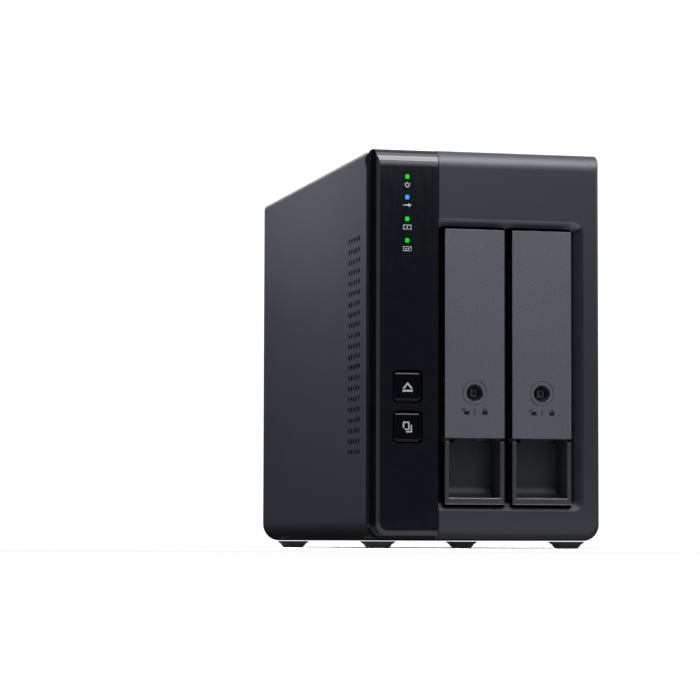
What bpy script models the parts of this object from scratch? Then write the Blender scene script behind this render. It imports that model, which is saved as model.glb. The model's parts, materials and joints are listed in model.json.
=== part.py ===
# Two-bay desktop storage enclosure (network attached storage).
#
# Frame: +X to the right seen from the front, +Y to the back, +Z up.
# Origin: centre of the overall box, on the surface that the feet rest on.
# The front face lies at Y = -D / 2.  "u" below is the depth behind that face.
# All driving dimensions are in millimetres; MM turns them into metres.

import math

import bpy
import bmesh
from mathutils import Matrix, Vector

MM = 0.001

# ---------------------------------------------------------------- overall size
W = 102.0            # width over the outer cover
D = 219.0            # depth, front face to rear edge of the cover
H = 168.5            # height with the feet
FOOT_H = 3.3         # underside of the housing above the table
GAP = 0.3            # clearance between pieces that touch

# ---------------------------------------------------------------- outer cover
WALL = 2.0
COVER_U0 = 10.4      # front edge of the cover
COVER_R_LOW = 8.0    # lower corner radius
COVER_R_TOP = 2.8    # upper corner radius
COVER_SLOT = 36.0    # half width of the opening along the underside
VENT_U0, VENT_PITCH_U, VENT_COLS = 22.7, 4.48, 5
VENT_Z0, VENT_PITCH_Z, VENT_ROWS = 41.0, 4.545, 21
VENT_SIDE = 1.86     # side of the square that has the area of a 2.1 mm hole

# ---------------------------------------------------------------- front mouldings
FACE_HALF = 48.8     # half width of the raised face
FACE_LOW = 5.3       # underside of the raised face
FACE_EDGE = 1.2      # width of the slope around it
FLANGE_U0 = 7.15     # front of the flange around the face
FRONT_U1 = 10.1      # back of the mouldings
FACE_R_TOP = 7.8     # rounding from the face over to the top
SEAM_X = -21.9       # left edge of the matte bezel
SKIN = 2.2           # moulding thickness
REC_X1, REC_Z0, REC_Z1 = 41.9, 15.8, 139.0      # rim of the recess around the bays
REC_IN, REC_DEPTH = 3.4, 3.9                    # slope of its sides
BAYS = [(-19.9, 7.4), (9.7, 37.0)]              # the two windows, in X
BAY_Z0, BAY_Z1 = 17.3, 136.1
MULLION_U = 7.0                                 # front of the bar between the bays

# ---------------------------------------------------------------- lights and keys
LED_X = -35.8
LED_Z = [156.2, 147.5, 138.3, 129.2]
LED_W, LED_H = 2.2, 2.3
KEY_X = -35.5
KEY_Z = {"eject_button": 67.7, "copy_button": 50.7}
KEY_W, KEY_H, KEY_R = 12.4, 13.4, 2.0
KEY_TRAVEL = 0.9

# ---------------------------------------------------------------- drive trays
TRAY_X = [-6.25, 23.3]
TRAY_W = 26.1
TRAY_Z0, TRAY_Z1 = 18.4, 134.6
LEVER_Z0 = 46.4
RAIL_TOP = 45.0
POCKET_DEPTH = 15.0
POCKET_WALL = 1.9
POCKET_FLOOR = 21.25
POCKET_R = 5.5
TONGUE = 4.9         # half width of the tongue at the top of the pocket's back wall
PIN_U, PIN_Z, PIN_R = 3.8, 128.0, 0.8
LOCK_Z, LOCK_RING_R, LOCK_HOLE_R = 65.4, 5.0, 3.6
DRIVE_W, DRIVE_L, DRIVE_H = 25.4, 147.0, 101.6
DRIVE_U0, DRIVE_Z0 = 20.6, 26.0

# ---------------------------------------------------------------- inside and rear
CAGE_U0, CAGE_U1 = 10.5, 170.4
BACK_U0, BACK_U1 = 171.0, 172.6
PANEL_U0, PANEL_U1 = 214.0, 216.5
FAN_X, FAN_Z, FAN_SIZE, FAN_U0, FAN_U1 = 10.5, 96.0, 70.0, 188.6, 213.6
FAN_BORE, FAN_PITCH = 33.0, 60.0

COLOURS = {
    "cover": ((0.042, 0.044, 0.052), 0.45, 0.0),
    "matte": ((0.040, 0.042, 0.050), 0.50, 0.0),
    "gloss": ((0.006, 0.008, 0.013), 0.08, 0.0),
    "tray": ((0.095, 0.096, 0.112), 0.48, 0.0),
    "frame": ((0.050, 0.052, 0.062), 0.50, 0.0),
    "lock": ((0.030, 0.031, 0.036), 0.40, 0.0),
    "key": ((0.004, 0.004, 0.006), 0.12, 0.0),
    "rubber": ((0.020, 0.020, 0.022), 0.80, 0.0),
    "steel": ((0.55, 0.56, 0.58), 0.32, 1.0),
    "sheet": ((0.42, 0.43, 0.45), 0.42, 1.0),
    "alu": ((0.62, 0.63, 0.65), 0.38, 1.0),
    "board": ((0.012, 0.085, 0.040), 0.45, 0.0),
    "black": ((0.012, 0.012, 0.014), 0.55, 0.0),
    "pipe": ((0.55, 0.75, 0.60), 0.15, 0.0),
    "white": ((0.70, 0.70, 0.68), 0.45, 0.0),
}


# ================================================================ helpers
def y_of(u):
    return u - D / 2.0


def purge():
    for ob in list(bpy.data.objects):
        bpy.data.objects.remove(ob, do_unlink=True)


def material(name, key):
    rgb, rough, metal = COLOURS[key]
    mat = bpy.data.materials.new(name)
    mat.use_nodes = True
    bsdf = mat.node_tree.nodes["Principled BSDF"]
    bsdf.inputs["Base Color"].default_value = (*rgb, 1.0)
    bsdf.inputs["Roughness"].default_value = rough
    bsdf.inputs["Metallic"].default_value = metal
    mat.diffuse_color = (*rgb, 1.0)
    return mat


def link(name, bm):
    bmesh.ops.recalc_face_normals(bm, faces=bm.faces[:])
    mesh = bpy.data.meshes.new(name)
    bm.to_mesh(mesh)
    bm.free()
    ob = bpy.data.objects.new(name, mesh)
    bpy.context.scene.collection.objects.link(ob)
    return ob


def add_prism(bm, pts, axis, a0, a1, taper=None):
    """Closed prism: outline pts in the plane across axis, from a0 to a1.

    taper, when given, is the outline at a1."""
    def place(p, a):
        if axis == "X":
            return Vector((a, p[0], p[1])) * MM
        if axis == "Y":
            return Vector((p[0], a, p[1])) * MM
        return Vector((p[0], p[1], a)) * MM
    far = taper if taper is not None else pts
    low = [bm.verts.new(place(p, a0)) for p in pts]
    high = [bm.verts.new(place(p, a1)) for p in far]
    bm.faces.new(low)
    bm.faces.new(list(reversed(high)))
    n = len(pts)
    for i in range(n):
        j = (i + 1) % n
        bm.faces.new((low[j], low[i], high[i], high[j]))


def prism(name, pts, axis, a0, a1, taper=None):
    bm = bmesh.new()
    add_prism(bm, pts, axis, a0, a1, taper)
    return link(name, bm)


def rect(x0, z0, x1, z1):
    return [(x0, z0), (x1, z0), (x1, z1), (x0, z1)]


def rrect(x0, z0, x1, z1, radii, seg=4):
    """Rounded rectangle; radii are (low left, low right, top right, top left)."""
    if not isinstance(radii, (tuple, list)):
        radii = (radii,) * 4
    corners = [(x0, z0, 180.0), (x1, z0, 270.0), (x1, z1, 0.0), (x0, z1, 90.0)]
    pts = []
    for (cx, cz, start), r in zip(corners, radii):
        if r <= 0.0:
            pts.append((cx, cz))
            continue
        ox = cx + r if cx == x0 else cx - r
        oz = cz + r if cz == z0 else cz - r
        for k in range(seg + 1):
            a = math.radians(start + 90.0 * k / seg)
            pts.append((ox + r * math.cos(a), oz + r * math.sin(a)))
    return pts


def circle(cx, cz, r, n, phase=0.0):
    return [(cx + r * math.cos(phase + 2 * math.pi * k / n),
             cz + r * math.sin(phase + 2 * math.pi * k / n)) for k in range(n)]


def box(name, x0, x1, u0, u1, z0, z1):
    return prism(name, rect(x0, z0, x1, z1), "Y", y_of(u0), y_of(u1))


def add_box(bm, x0, x1, u0, u1, z0, z1):
    add_prism(bm, rect(x0, z0, x1, z1), "Y", y_of(u0), y_of(u1))


def boolean(ob, other, op):
    """Exact boolean with another object, applied, and the other removed."""
    other.hide_render = True
    other.display_type = "WIRE"
    mod = ob.modifiers.new(op, "BOOLEAN")
    mod.operation = op
    mod.solver = "EXACT"
    mod.object = other
    bpy.context.view_layer.update()
    graph = bpy.context.evaluated_depsgraph_get()
    mesh = bpy.data.meshes.new_from_object(ob.evaluated_get(graph))
    ob.modifiers.clear()
    ob.data = mesh
    bpy.data.objects.remove(other, do_unlink=True)
    return ob


def cut(ob, *tools):
    for t in tools:
        boolean(ob, t, "DIFFERENCE")
    return ob


def join(ob, *tools):
    for t in tools:
        boolean(ob, t, "UNION")
    return ob


def keep(ob, *tools):
    for t in tools:
        boolean(ob, t, "INTERSECT")
    return ob


def finish(ob, colour, origin=None, smooth=None):
    """Clean the mesh, give the object its material and its origin."""
    bm = bmesh.new()
    bm.from_mesh(ob.data)
    bmesh.ops.remove_doubles(bm, verts=bm.verts[:], dist=2e-6)
    bmesh.ops.dissolve_limit(bm, angle_limit=math.radians(0.2),
                             verts=bm.verts[:], edges=bm.edges[:])
    bmesh.ops.recalc_face_normals(bm, faces=bm.faces[:])
    bm.to_mesh(ob.data)
    bm.free()
    ob.data.materials.clear()
    ob.data.materials.append(material(ob.name, colour))
    if smooth:
        ob.data.shade_smooth()
        ob.data.set_sharp_from_angle(angle=math.radians(smooth))
    if origin is not None:
        o = Vector(origin) * MM
        ob.data.transform(Matrix.Translation(-o))
        ob.location = o
    return ob


# ================================================================ housing
def outer_cover():
    bot = FOOT_H
    ob = prism("outer_cover",
               rrect(-W / 2, bot, W / 2, H, (COVER_R_LOW, COVER_R_LOW, COVER_R_TOP, COVER_R_TOP), 5),
               "Y", y_of(COVER_U0), y_of(D))
    t = WALL
    inner = prism("c", rrect(-W / 2 + t, bot + t, W / 2 - t, H - t,
                             (COVER_R_LOW - t, COVER_R_LOW - t, 0.6, 0.6), 5),
                  "Y", y_of(COVER_U0 - 5), y_of(D + 5))
    slot = prism("c", rect(-COVER_SLOT, bot - 3, COVER_SLOT, bot + t + 1),
                 "Y", y_of(COVER_U0 - 6), y_of(D + 6))
    cut(ob, inner, slot)
    bm = bmesh.new()
    s = VENT_SIDE / 2
    for i in range(VENT_COLS):
        for j in range(VENT_ROWS):
            u = VENT_U0 + i * VENT_PITCH_U
            z = VENT_Z0 + j * VENT_PITCH_Z
            add_box(bm, -W / 2 - 4, W / 2 + 4, u - s, u + s, z - s, z + s)
    cut(ob, link("c", bm))
    # the front edge of each side curves back just below the top
    nook = [(y_of(COVER_U0 - 2), 160.0), (y_of(COVER_U0), 160.0)]
    nook += [(y_of(COVER_U0 + 2.4 * math.sin(math.radians(15 * k))), 160.0 + 5.4 * (1 - math.cos(math.radians(15 * k))))
             for k in range(1, 7)]
    nook += [(y_of(COVER_U0 - 2), 165.4)]
    cut(ob, prism("c", nook, "X", -W / 2 - 4, W / 2 + 4))
    return finish(ob, "cover", smooth=30)


def front_profile():
    """Side outline (Y, Z) of the front: rounded over at the top."""
    pts = [(y_of(0.0), 2.0), (y_of(0.0), H - FACE_R_TOP)]
    for k in range(1, 8):
        a = math.radians(90.0 * k / 8)
        pts.append((y_of(FACE_R_TOP - FACE_R_TOP * math.cos(a)),
                    H - FACE_R_TOP + FACE_R_TOP * math.sin(a)))
    pts += [(y_of(FACE_R_TOP), H), (y_of(FRONT_U1), H), (y_of(FRONT_U1), 2.0)]
    return pts


def front_block(name, face_low):
    """Both front mouldings before they are split at the seam: a raised face
    with a sloping edge, in front of a flange as large as the cover."""
    body = prism(name, front_profile(), "X", -W / 2 - 1, W / 2 + 1)
    wide = rrect(-FACE_HALF, FACE_LOW, FACE_HALF, H, (5.0, 5.0, 2.6, 2.6), 4)
    slim = rrect(-FACE_HALF + FACE_EDGE, face_low, FACE_HALF - FACE_EDGE, H, (3.8, 3.8, 2.6, 2.6), 4)
    rim = 0.6
    whole = rrect(-W / 2, FOOT_H, W / 2, H, (7.0, 7.0, COVER_R_TOP, COVER_R_TOP), 4)
    front = rrect(-W / 2 + rim, FOOT_H + rim, W / 2 - rim, H, (6.4, 6.4, COVER_R_TOP, COVER_R_TOP), 4)
    flange = prism("c", whole, "Y", y_of(FLANGE_U0 + rim), y_of(FRONT_U1 + 1))
    join(flange,
         prism("c", front, "Y", y_of(FLANGE_U0), y_of(FLANGE_U0 + rim), taper=whole),
         prism("c", wide, "Y", y_of(1.4), y_of(FLANGE_U0 + 0.4)),
         prism("c", slim, "Y", y_of(-0.02), y_of(1.4), taper=wide))
    keep(body, flange)
    return body


def gloss_panel():
    ob = front_block("gloss_panel", 7.4)
    cut(ob, box("c", SEAM_X - GAP, W, -5, 20, -5, H + 5))
    # hollow back, open to the rear
    cut(ob, prism("c", rrect(-46.4, 6.6, SEAM_X - GAP - 1.6, H - SKIN - 0.6, (4, 0.5, 0.5, 0.5), 3),
                  "Y", y_of(SKIN), y_of(30)))
    bm = bmesh.new()
    for z in LED_Z:
        add_box(bm, LED_X - LED_W / 2 - GAP, LED_X + LED_W / 2 + GAP, -3, 5,
                z - LED_H / 2 - GAP, z + LED_H / 2 + GAP)
    for z in KEY_Z.values():
        g = 0.32
        add_prism(bm, rrect(KEY_X - KEY_W / 2 - g, z - KEY_H / 2 - g,
                            KEY_X + KEY_W / 2 + g, z + KEY_H / 2 + g, KEY_R + g, 3),
                  "Y", y_of(-3), y_of(5))
    cut(ob, link("c", bm))
    return finish(ob, "gloss", smooth=30)


def front_bezel():
    ob = front_block("front_bezel", 6.9)
    cut(ob, box("c", -W, SEAM_X, -5, 20, -5, H + 5))
    # recess around the bays with sloping sides, open against the gloss panel
    x0 = SEAM_X - 4
    cut(ob, prism("c", rrect(x0, REC_Z0, REC_X1, REC_Z1, (0, 5.0, 5.0, 0), 4),
                  "Y", y_of(0.0), y_of(REC_DEPTH),
                  taper=rrect(x0, REC_Z0 + REC_IN, REC_X1 - REC_IN, REC_Z1 - REC_IN, (0, 1.6, 1.6, 0), 4)),
        prism("c", rrect(x0, REC_Z0, REC_X1, REC_Z1, (0, 5.0, 5.0, 0), 4),
              "Y", y_of(-3), y_of(0.01)))
    # mullion and left strip stand deeper than the slopes
    cut(ob, box("c", x0, BAYS[1][1], -3, MULLION_U, REC_Z0 + REC_IN, REC_Z1 - REC_IN))
    bm = bmesh.new()
    for a, b in BAYS:
        add_box(bm, a, b, -5, 20, BAY_Z0, BAY_Z1)
    cut(ob, link("c", bm))
    # hollow back above the bays, and beside and below them
    cut(ob, box("c", SEAM_X + 1.6, 46.0, SKIN + 0.4, 30, REC_Z1 + 1.8, H - 8.6),
        box("c", 43.2, 46.2, SKIN + 0.4, 30, 18.0, REC_Z1 - 2),
        box("c", SEAM_X + 1.6, 40.0, SKIN + 0.6, 30, 8.2, 12.6))
    return finish(ob, "matte", smooth=30)


def base_plate():
    x, t = COVER_SLOT - GAP, FOOT_H + WALL
    half = [(x, FOOT_H), (x, t + GAP), (42.0, t + GAP), (42.0, t + GAP + 1.4), (32.0, t + GAP + 1.4), (32.0, t)]
    # a plate whose raised side strips lie over the edges of the cover
    ob = prism("base_plate", half + [(-px, pz) for px, pz in reversed(half)], "Y",
               y_of(COVER_U0 + 0.1), y_of(D - GAP))
    # the raised strips stop short of the rear panel
    cut(ob, box("c", -60, 60, PANEL_U0 - 0.6, D + 5, t, t + 6))
    # air slots through the floor
    bm = bmesh.new()
    for k in range(6):
        u = 62 + 16 * k
        add_prism(bm, rrect(-18, y_of(u), 18, y_of(u + 4), 1.9, 2), "Z", FOOT_H - 2, FOOT_H + 8)
    cut(ob, link("c", bm))
    return finish(ob, "sheet")


def feet():
    out = []
    for name, x, u in (("foot_front_left", -42.0, 25.0), ("foot_front_right", 42.0, 25.0),
                       ("foot_rear_left", -42.0, 191.0), ("foot_rear_right", 42.0, 191.0)):
        low = rrect(x - 4.0, y_of(u - 5.0), x + 4.0, y_of(u + 5.0), 1.2, 2)
        hx0, hx1 = x - 6.4, x + 6.4
        high = rrect(hx0, y_of(u - 7.4), hx1, y_of(u + 7.4), 2.0, 2)
        out.append(finish(prism(name, low, "Z", 0.0, FOOT_H - GAP, taper=high), "rubber", smooth=30))
    return out


def rear_panel():
    ob = prism("rear_panel", rrect(-48.6, FOOT_H + WALL + 0.4, 48.6, H - WALL - 0.4, (5.6, 5.6, 0.4, 0.4), 4),
               "Y", y_of(PANEL_U0), y_of(PANEL_U1))
    bm = bmesh.new()
    # fan grille: vertical slots whose ends follow a circle
    pitch, wide, r = 5.6, 3.6, 31.5
    for k in range(-5, 6):
        x = FAN_X + k * pitch
        h = math.sqrt(max(r * r - (abs(k * pitch) + wide / 2) ** 2, 1.0))
        for z0, z1 in ((FAN_Z - h, FAN_Z - 1.1), (FAN_Z + 1.1, FAN_Z + h)):
            add_box(bm, x - wide / 2, x + wide / 2, PANEL_U0 - 4, PANEL_U1 + 4, z0, z1)
    for sx in (-1, 1):
        for sz in (-1, 1):
            add_prism(bm, circle(FAN_X + sx * FAN_PITCH / 2, FAN_Z + sz * FAN_PITCH / 2, 2.1, 10),
                      "Y", y_of(PANEL_U0 - 4), y_of(PANEL_U1 + 4))
    for x, z in SCREWS:
        add_prism(bm, circle(x, z, 1.95, 10), "Y", y_of(PANEL_U0 - 4), y_of(PANEL_U1 + 4))
    # openings for the sockets and switches
    add_prism(bm, rrect(USB_X - 4.9, USB_Z - 2.0, USB_X + 4.9, USB_Z + 2.0, 1.8, 3),
              "Y", y_of(PANEL_U0 - 4), y_of(PANEL_U1 + 4))
    add_prism(bm, circle(DC_X, DC_Z, 4.6, 16), "Y", y_of(PANEL_U0 - 4), y_of(PANEL_U1 + 4))
    add_box(bm, DIP_X - 5.2, DIP_X + 5.2, PANEL_U0 - 4, PANEL_U1 + 4, DIP_Z - 3.4, DIP_Z + 3.4)
    add_prism(bm, circle(SET_X, SET_Z, 2.3, 12), "Y", y_of(PANEL_U0 - 4), y_of(PANEL_U1 + 4))
    # slot for a security lock
    add_prism(bm, rrect(-38.5, 145.4, -31.5, 148.4, 0.9, 2), "Y", y_of(PANEL_U0 - 4), y_of(PANEL_U1 + 4))
    cut(ob, link("c", bm))
    return finish(ob, "matte", smooth=30)


SCREWS = [(-43.5, 160.5), (43.5, 160.5), (43.5, 14.5)]
USB_X, USB_Z = -14.0, 24.0
DC_X, DC_Z = -35.0, 24.0
DIP_X, DIP_Z = -36.0, 104.0
SET_X, SET_Z = -36.0, 86.0


def screw(name, x, z, head_r, shank_r, u_tip):
    """Pan-head screw from the rear, with a cross recess."""
    bm = bmesh.new()
    add_prism(bm, circle(x, z, shank_r, 8), "Y", y_of(u_tip), y_of(PANEL_U1 + 0.8))
    ob = link(name, bm)
    join(ob, prism("c", circle(x, z, head_r, 12), "Y", y_of(PANEL_U1 + GAP), y_of(PANEL_U1 + 1.9),
                   taper=circle(x, z, head_r * 0.72, 12)))
    a, b = head_r * 0.5, 0.3
    cross = [(a, -b), (a, b), (b, b), (b, a), (-b, a), (-b, b),
             (-a, b), (-a, -b), (-b, -b), (-b, -a), (b, -a), (b, -b)]
    cut(ob, prism("c", [(x + p, z + q) for p, q in cross], "Y", y_of(PANEL_U1 + 1.1), y_of(PANEL_U1 + 4)))
    return finish(ob, "steel", smooth=35)


# ================================================================ cage and boards
def cage():
    out = []
    u0, u1 = CAGE_U0, CAGE_U1
    bot, top = FOOT_H + 2.0 + 2.0, 140.0
    ledge0, ledge1 = 15.6, TRAY_Z0 - GAP
    roof0, roof1 = TRAY_Z1 + 0.5, 138.0

    def wall(name, x0, x1, left, right):
        """Upright with a runner under each tray it serves and a stop above it."""
        pts = [(x0, bot), (x1, bot)]
        if right:
            pts += [(x1, ledge0), (x1 + 2.6, ledge0), (x1 + 2.6, ledge1), (x1, ledge1),
                    (x1, roof0 + 2.0), (x1 + 1.6, roof0 + 2.0), (x1 + 1.6, roof1 + 0.6), (x1, roof1 + 0.6)]
        pts += [(x1, top), (x0, top)]
        if left:
            pts += [(x0, roof1 + 0.6), (x0 - 1.6, roof1 + 0.6), (x0 - 1.6, roof0 + 2.0), (x0, roof0 + 2.0),
                    (x0, ledge1), (x0 - 2.6, ledge1), (x0 - 2.6, ledge0), (x0, ledge0)]
        return finish(prism(name, pts, "Y", y_of(u0), y_of(u1)), "black")

    out.append(wall("cage_left_wall", -21.4, -20.0, False, True))
    out.append(wall("bay_divider", 7.7, 9.4, True, True))
    out.append(wall("cage_right_wall", 37.2, 38.6, True, False))
    out.append(finish(box("cage_top_plate", -21.4, 38.6, u0, u1, top + GAP, top + 1.5), "sheet"))
    return out


def boards():
    out = []
    # vertical backplane behind the bays, with air slots
    ob = box("backplane_pcb", -21.4, 38.6, BACK_U0, BACK_U1, 12.0, 140.0)
    bm = bmesh.new()
    for x in TRAY_X:
        for k in range(4):
            add_box(bm, x - 8, x + 8, BACK_U0 - 3, BACK_U1 + 3, 84.0 + 12 * k, 90.0 + 12 * k)
    cut(ob, link("c", bm))
    out.append(finish(ob, "board"))
    for k, x in enumerate(TRAY_X, 1):
        ob = box("sata_connector_%d" % k, x - 3.0, x + 3.0, BACK_U0 - 2.2, BACK_U0 - GAP, 30.0, 74.0)
        cut(ob, box("c", x - 1.2, x + 1.2, BACK_U0 - 4, BACK_U0 - 1.0, 31.5, 72.5))
        out.append(finish(ob, "black"))
    # main board on edge in the left compartment
    ob = box("main_board", -46.2, -44.6, 16.0, 204.0, 12.0, 140.0)
    cut(ob, box("c", -50, -40, 16 - 5, 46.0, 38.0, 136.0))
    out.append(finish(ob, "board"))
    out.append(finish(box("bridge_chip", -44.3, -42.9, 84.0, 98.0, 66.0, 80.0), "black"))
    bm = bmesh.new()
    add_box(bm, -42.6, -40.6, 80.0, 102.0, 62.0, 84.0)
    ob = link("heat_sink", bm)
    bm = bmesh.new()
    for k in range(6):
        z = 62.0 + 4.2 * k
        add_box(bm, -41.2, -34.0, 80.0, 102.0, z, z + 1.0)
    join(ob, link("c", bm))
    out.append(finish(ob, "alu"))
    for k, (u, z) in enumerate(((150.0, 30.0), (162.0, 30.0)), 1):
        out.append(finish(prism("capacitor_%d" % k, circle(y_of(u), z, 4.0, 12), "X", -44.3, -34.5),
                          "alu", smooth=35))
    # small board behind the gloss panel: four lamps and two key switches
    out.append(finish(box("led_board", -44.6, -25.6, 8.4, 9.6, 42.0, 161.0), "board"))
    for name, z in (("key_switch_1", KEY_Z["eject_button"]), ("key_switch_2", KEY_Z["copy_button"])):
        ob = box(name, KEY_X - 3.0, KEY_X + 3.0, 6.0, 8.4 - GAP, z - 3.0, z + 3.0)
        join(ob, prism("c", circle(KEY_X, z, 1.6, 10), "Y", y_of(5.0), y_of(6.5)))
        out.append(finish(ob, "black"))
    for k, z in enumerate(LED_Z, 1):
        ob = box("light_pipe_%d" % k, LED_X - LED_W / 2, LED_X + LED_W / 2, 0.05, 8.0,
                 z - LED_H / 2, z + LED_H / 2)
        join(ob, box("c", LED_X - LED_W / 2 - 1, LED_X + LED_W / 2 + 1, SKIN + GAP, SKIN + GAP + 1.0,
                     z - LED_H / 2 - 1, z + LED_H / 2 + 1))
        out.append(finish(ob, "pipe"))
    return out


# ================================================================ keys on the front
def key(name, z):
    """Square key cap; its upper and lower edges slope back."""
    x = KEY_X
    w, h = KEY_W / 2, KEY_H / 2
    ob = prism(name, rrect(x - w, z - h, x + w, z + h, KEY_R, 3), "Y", y_of(1.3), y_of(3.6))
    nose = prism("c", rrect(x - w + 0.4, z - h + 1.6, x + w - 0.4, z + h - 1.6, 1.2, 3), "Y", y_of(0.15), y_of(1.3),
                 taper=rrect(x - w, z - h, x + w, z + h, KEY_R, 3))
    join(ob, nose)
    join(ob, prism("c", circle(x, z, 2.0, 10), "Y", y_of(3.3), y_of(3.9)))
    return finish(ob, "key", origin=(x, y_of(0.15), z), smooth=30)


# ================================================================ drive trays
def carrier(k, cx):
    """Tray: front block with the finger pocket, two long rails and a rear bar."""
    hw = TRAY_W / 2
    x0, x1 = cx - hw, cx + hw
    ob = box("carrier_%d" % k, x0, x1, 0.0, 19.4, TRAY_Z0, TRAY_Z1)
    # rails above and below the drive, joined at the back
    bm = bmesh.new()
    add_box(bm, x0 + 1.2, x1 - 1.2, 18.0, 162.0, TRAY_Z0, DRIVE_Z0 - GAP)
    add_box(bm, x0 + 1.2, x1 - 1.2, 18.0, 162.0, DRIVE_Z0 + DRIVE_H + GAP, TRAY_Z1)
    join(ob, link("c", bm))
    # lighten the rails with long channels on their outer faces
    bm = bmesh.new()
    add_box(bm, x0 + 5.0, x1 - 5.0, 26.0, 156.0, TRAY_Z0 - 3, TRAY_Z0 + 3.4)
    add_box(bm, x0 + 5.0, x1 - 5.0, 26.0, 156.0, TRAY_Z1 - 3.4, TRAY_Z1 + 3)
    cut(ob, link("c", bm))
    # seat for the lever, deeper behind its hinge
    cut(ob, box("c", x0 - 2, x1 + 2, -3, 5.4, RAIL_TOP, 140.0))
    cut(ob, box("c", x0 - 2, x1 + 2, -4, 9.6, 122.6, 141.0))
    # finger pocket, its back corner rounded into the floor
    fl = POCKET_FLOOR
    pts = [(y_of(-3), fl), (y_of(POCKET_DEPTH - POCKET_R), fl)]
    for i in range(1, 7):
        a = math.radians(-90 + 90.0 * i / 6)
        pts.append((y_of(POCKET_DEPTH - POCKET_R + POCKET_R * math.cos(a)),
                    fl + POCKET_R + POCKET_R * math.sin(a)))
    pts += [(y_of(POCKET_DEPTH), 49.0), (y_of(-3), 49.0)]
    cut(ob, prism("c", pts, "X", x0 + POCKET_WALL, x1 - POCKET_WALL))
    # the pocket's back wall ends level with its sides, but for a tongue in the middle
    bm = bmesh.new()
    add_box(bm, x0 + POCKET_WALL, cx - TONGUE, POCKET_DEPTH - 1, 24.0, RAIL_TOP, 49.0)
    add_box(bm, cx + TONGUE, x1 - POCKET_WALL, POCKET_DEPTH - 1, 24.0, RAIL_TOP, 49.0)
    cut(ob, link("c", bm))
    # room for the lock barrel and its cam
    cut(ob, prism("c", rrect(cx - 6.4, LOCK_Z - 7.0, cx + 6.4, LOCK_Z + 8.6, 2.0, 2), "Y", y_of(5), y_of(14.0)))
    # hollow behind the lever seat, open to the back
    cut(ob, box("c", x0 + 2.0, x1 - 2.0, 11.4, 22.0, 80.0, 120.0))
    cut(ob, box("c", cx - 6.0, cx + 6.0, 10.4, 22.0, 56.0, 78.0))
    # ears for the hinge pin
    bm = bmesh.new()
    for sx in (-1, 1):
        a, b = sorted((cx + sx * 11.0, cx + sx * hw))
        pts = [(y_of(10.2), PIN_Z - 1.9), (y_of(10.2), PIN_Z + 1.9)]
        for i in range(9):
            t = math.radians(90 + 180.0 * i / 8)
            pts.append((y_of(PIN_U + 1.9 * math.cos(t)), PIN_Z + 1.9 * math.sin(t)))
        add_prism(bm, pts, "X", a, b)
    join(ob, link("c", bm))
    cut(ob, prism("c", circle(y_of(PIN_U), PIN_Z, 1.15, 12), "X", cx - 12.6, cx + 12.6))
    return finish(ob, "frame", origin=(cx, y_of(0), TRAY_Z0), smooth=30)


def lever(k, cx):
    """Front plate of the tray, hung from the hinge pin at its top."""
    hw = TRAY_W / 2
    x0, x1 = cx - hw, cx + hw
    bm = bmesh.new()
    add_box(bm, x0, x1, 0.0, 1.6, LEVER_Z0, TRAY_Z1)
    ob = link("lever_%d" % k, bm)
    bm = bmesh.new()
    add_box(bm, x0, x0 + 1.5, 1.0, 5.0, LEVER_Z0, 123.2)
    add_box(bm, x1 - 1.5, x1, 1.0, 5.0, LEVER_Z0, 123.2)
    join(ob, link("c", bm))
    join(ob, box("c", x0, x1, 1.0, 5.0, LEVER_Z0, LEVER_Z0 + 1.6))
    # knuckle around the pin
    pts = [(y_of(1.2), PIN_Z - 1.9), (y_of(1.2), PIN_Z + 1.9)]
    for i in range(9):
        t = math.radians(90 - 180.0 * i / 8)
        pts.append((y_of(PIN_U + 1.9 * math.cos(t)), PIN_Z + 1.9 * math.sin(t)))
    join(ob, prism("c", pts, "X", cx - 10.4, cx + 10.4))
    # barrel that holds the lock
    join(ob, prism("c", circle(cx, LOCK_Z, LOCK_RING_R, 24), "Y", y_of(1.0), y_of(9.0)))
    cut(ob, prism("c", circle(cx, LOCK_Z, LOCK_HOLE_R, 24), "Y", y_of(-3), y_of(12)),
        prism("c", circle(y_of(PIN_U), PIN_Z, 1.15, 12), "X", cx - 14, cx + 14))
    return finish(ob, "tray", origin=(cx, y_of(PIN_U), PIN_Z), smooth=30)


def hinge_pin(k, cx):
    ob = prism("hinge_pin_%d" % k, circle(y_of(PIN_U), PIN_Z, PIN_R, 12), "X", cx - 12.2, cx + 12.2)
    return finish(ob, "steel", origin=(cx, y_of(PIN_U), PIN_Z), smooth=40)


def lock_core(k, cx):
    """Turning lock: square post in a round socket, cam at the back."""
    z = LOCK_Z
    ob = prism("lock_core_%d" % k, circle(cx, z, 3.25, 24), "Y", y_of(2.4), y_of(9.6))
    ring = prism("c", circle(cx, z, 2.75, 20), "Y", y_of(1.0), y_of(5.0))
    post = prism("p", rrect(cx - 1.55, z - 1.55, cx + 1.55, z + 1.55, 0.4, 2), "Y", y_of(0.5), y_of(6.0))
    cut(ring, post)
    cut(ob, ring)
    cut(ob, box("c", cx - 0.8, cx + 0.8, 1.0, 3.6, z - 0.8, z + 0.8))
    join(ob, prism("c", rrect(cx - 2.6, z - 2.6, cx + 2.6, z + 5.2, 1.2, 2), "Y", y_of(9.3), y_of(10.9)))
    return finish(ob, "lock", origin=(cx, y_of(2.4), z), smooth=30)


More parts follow.
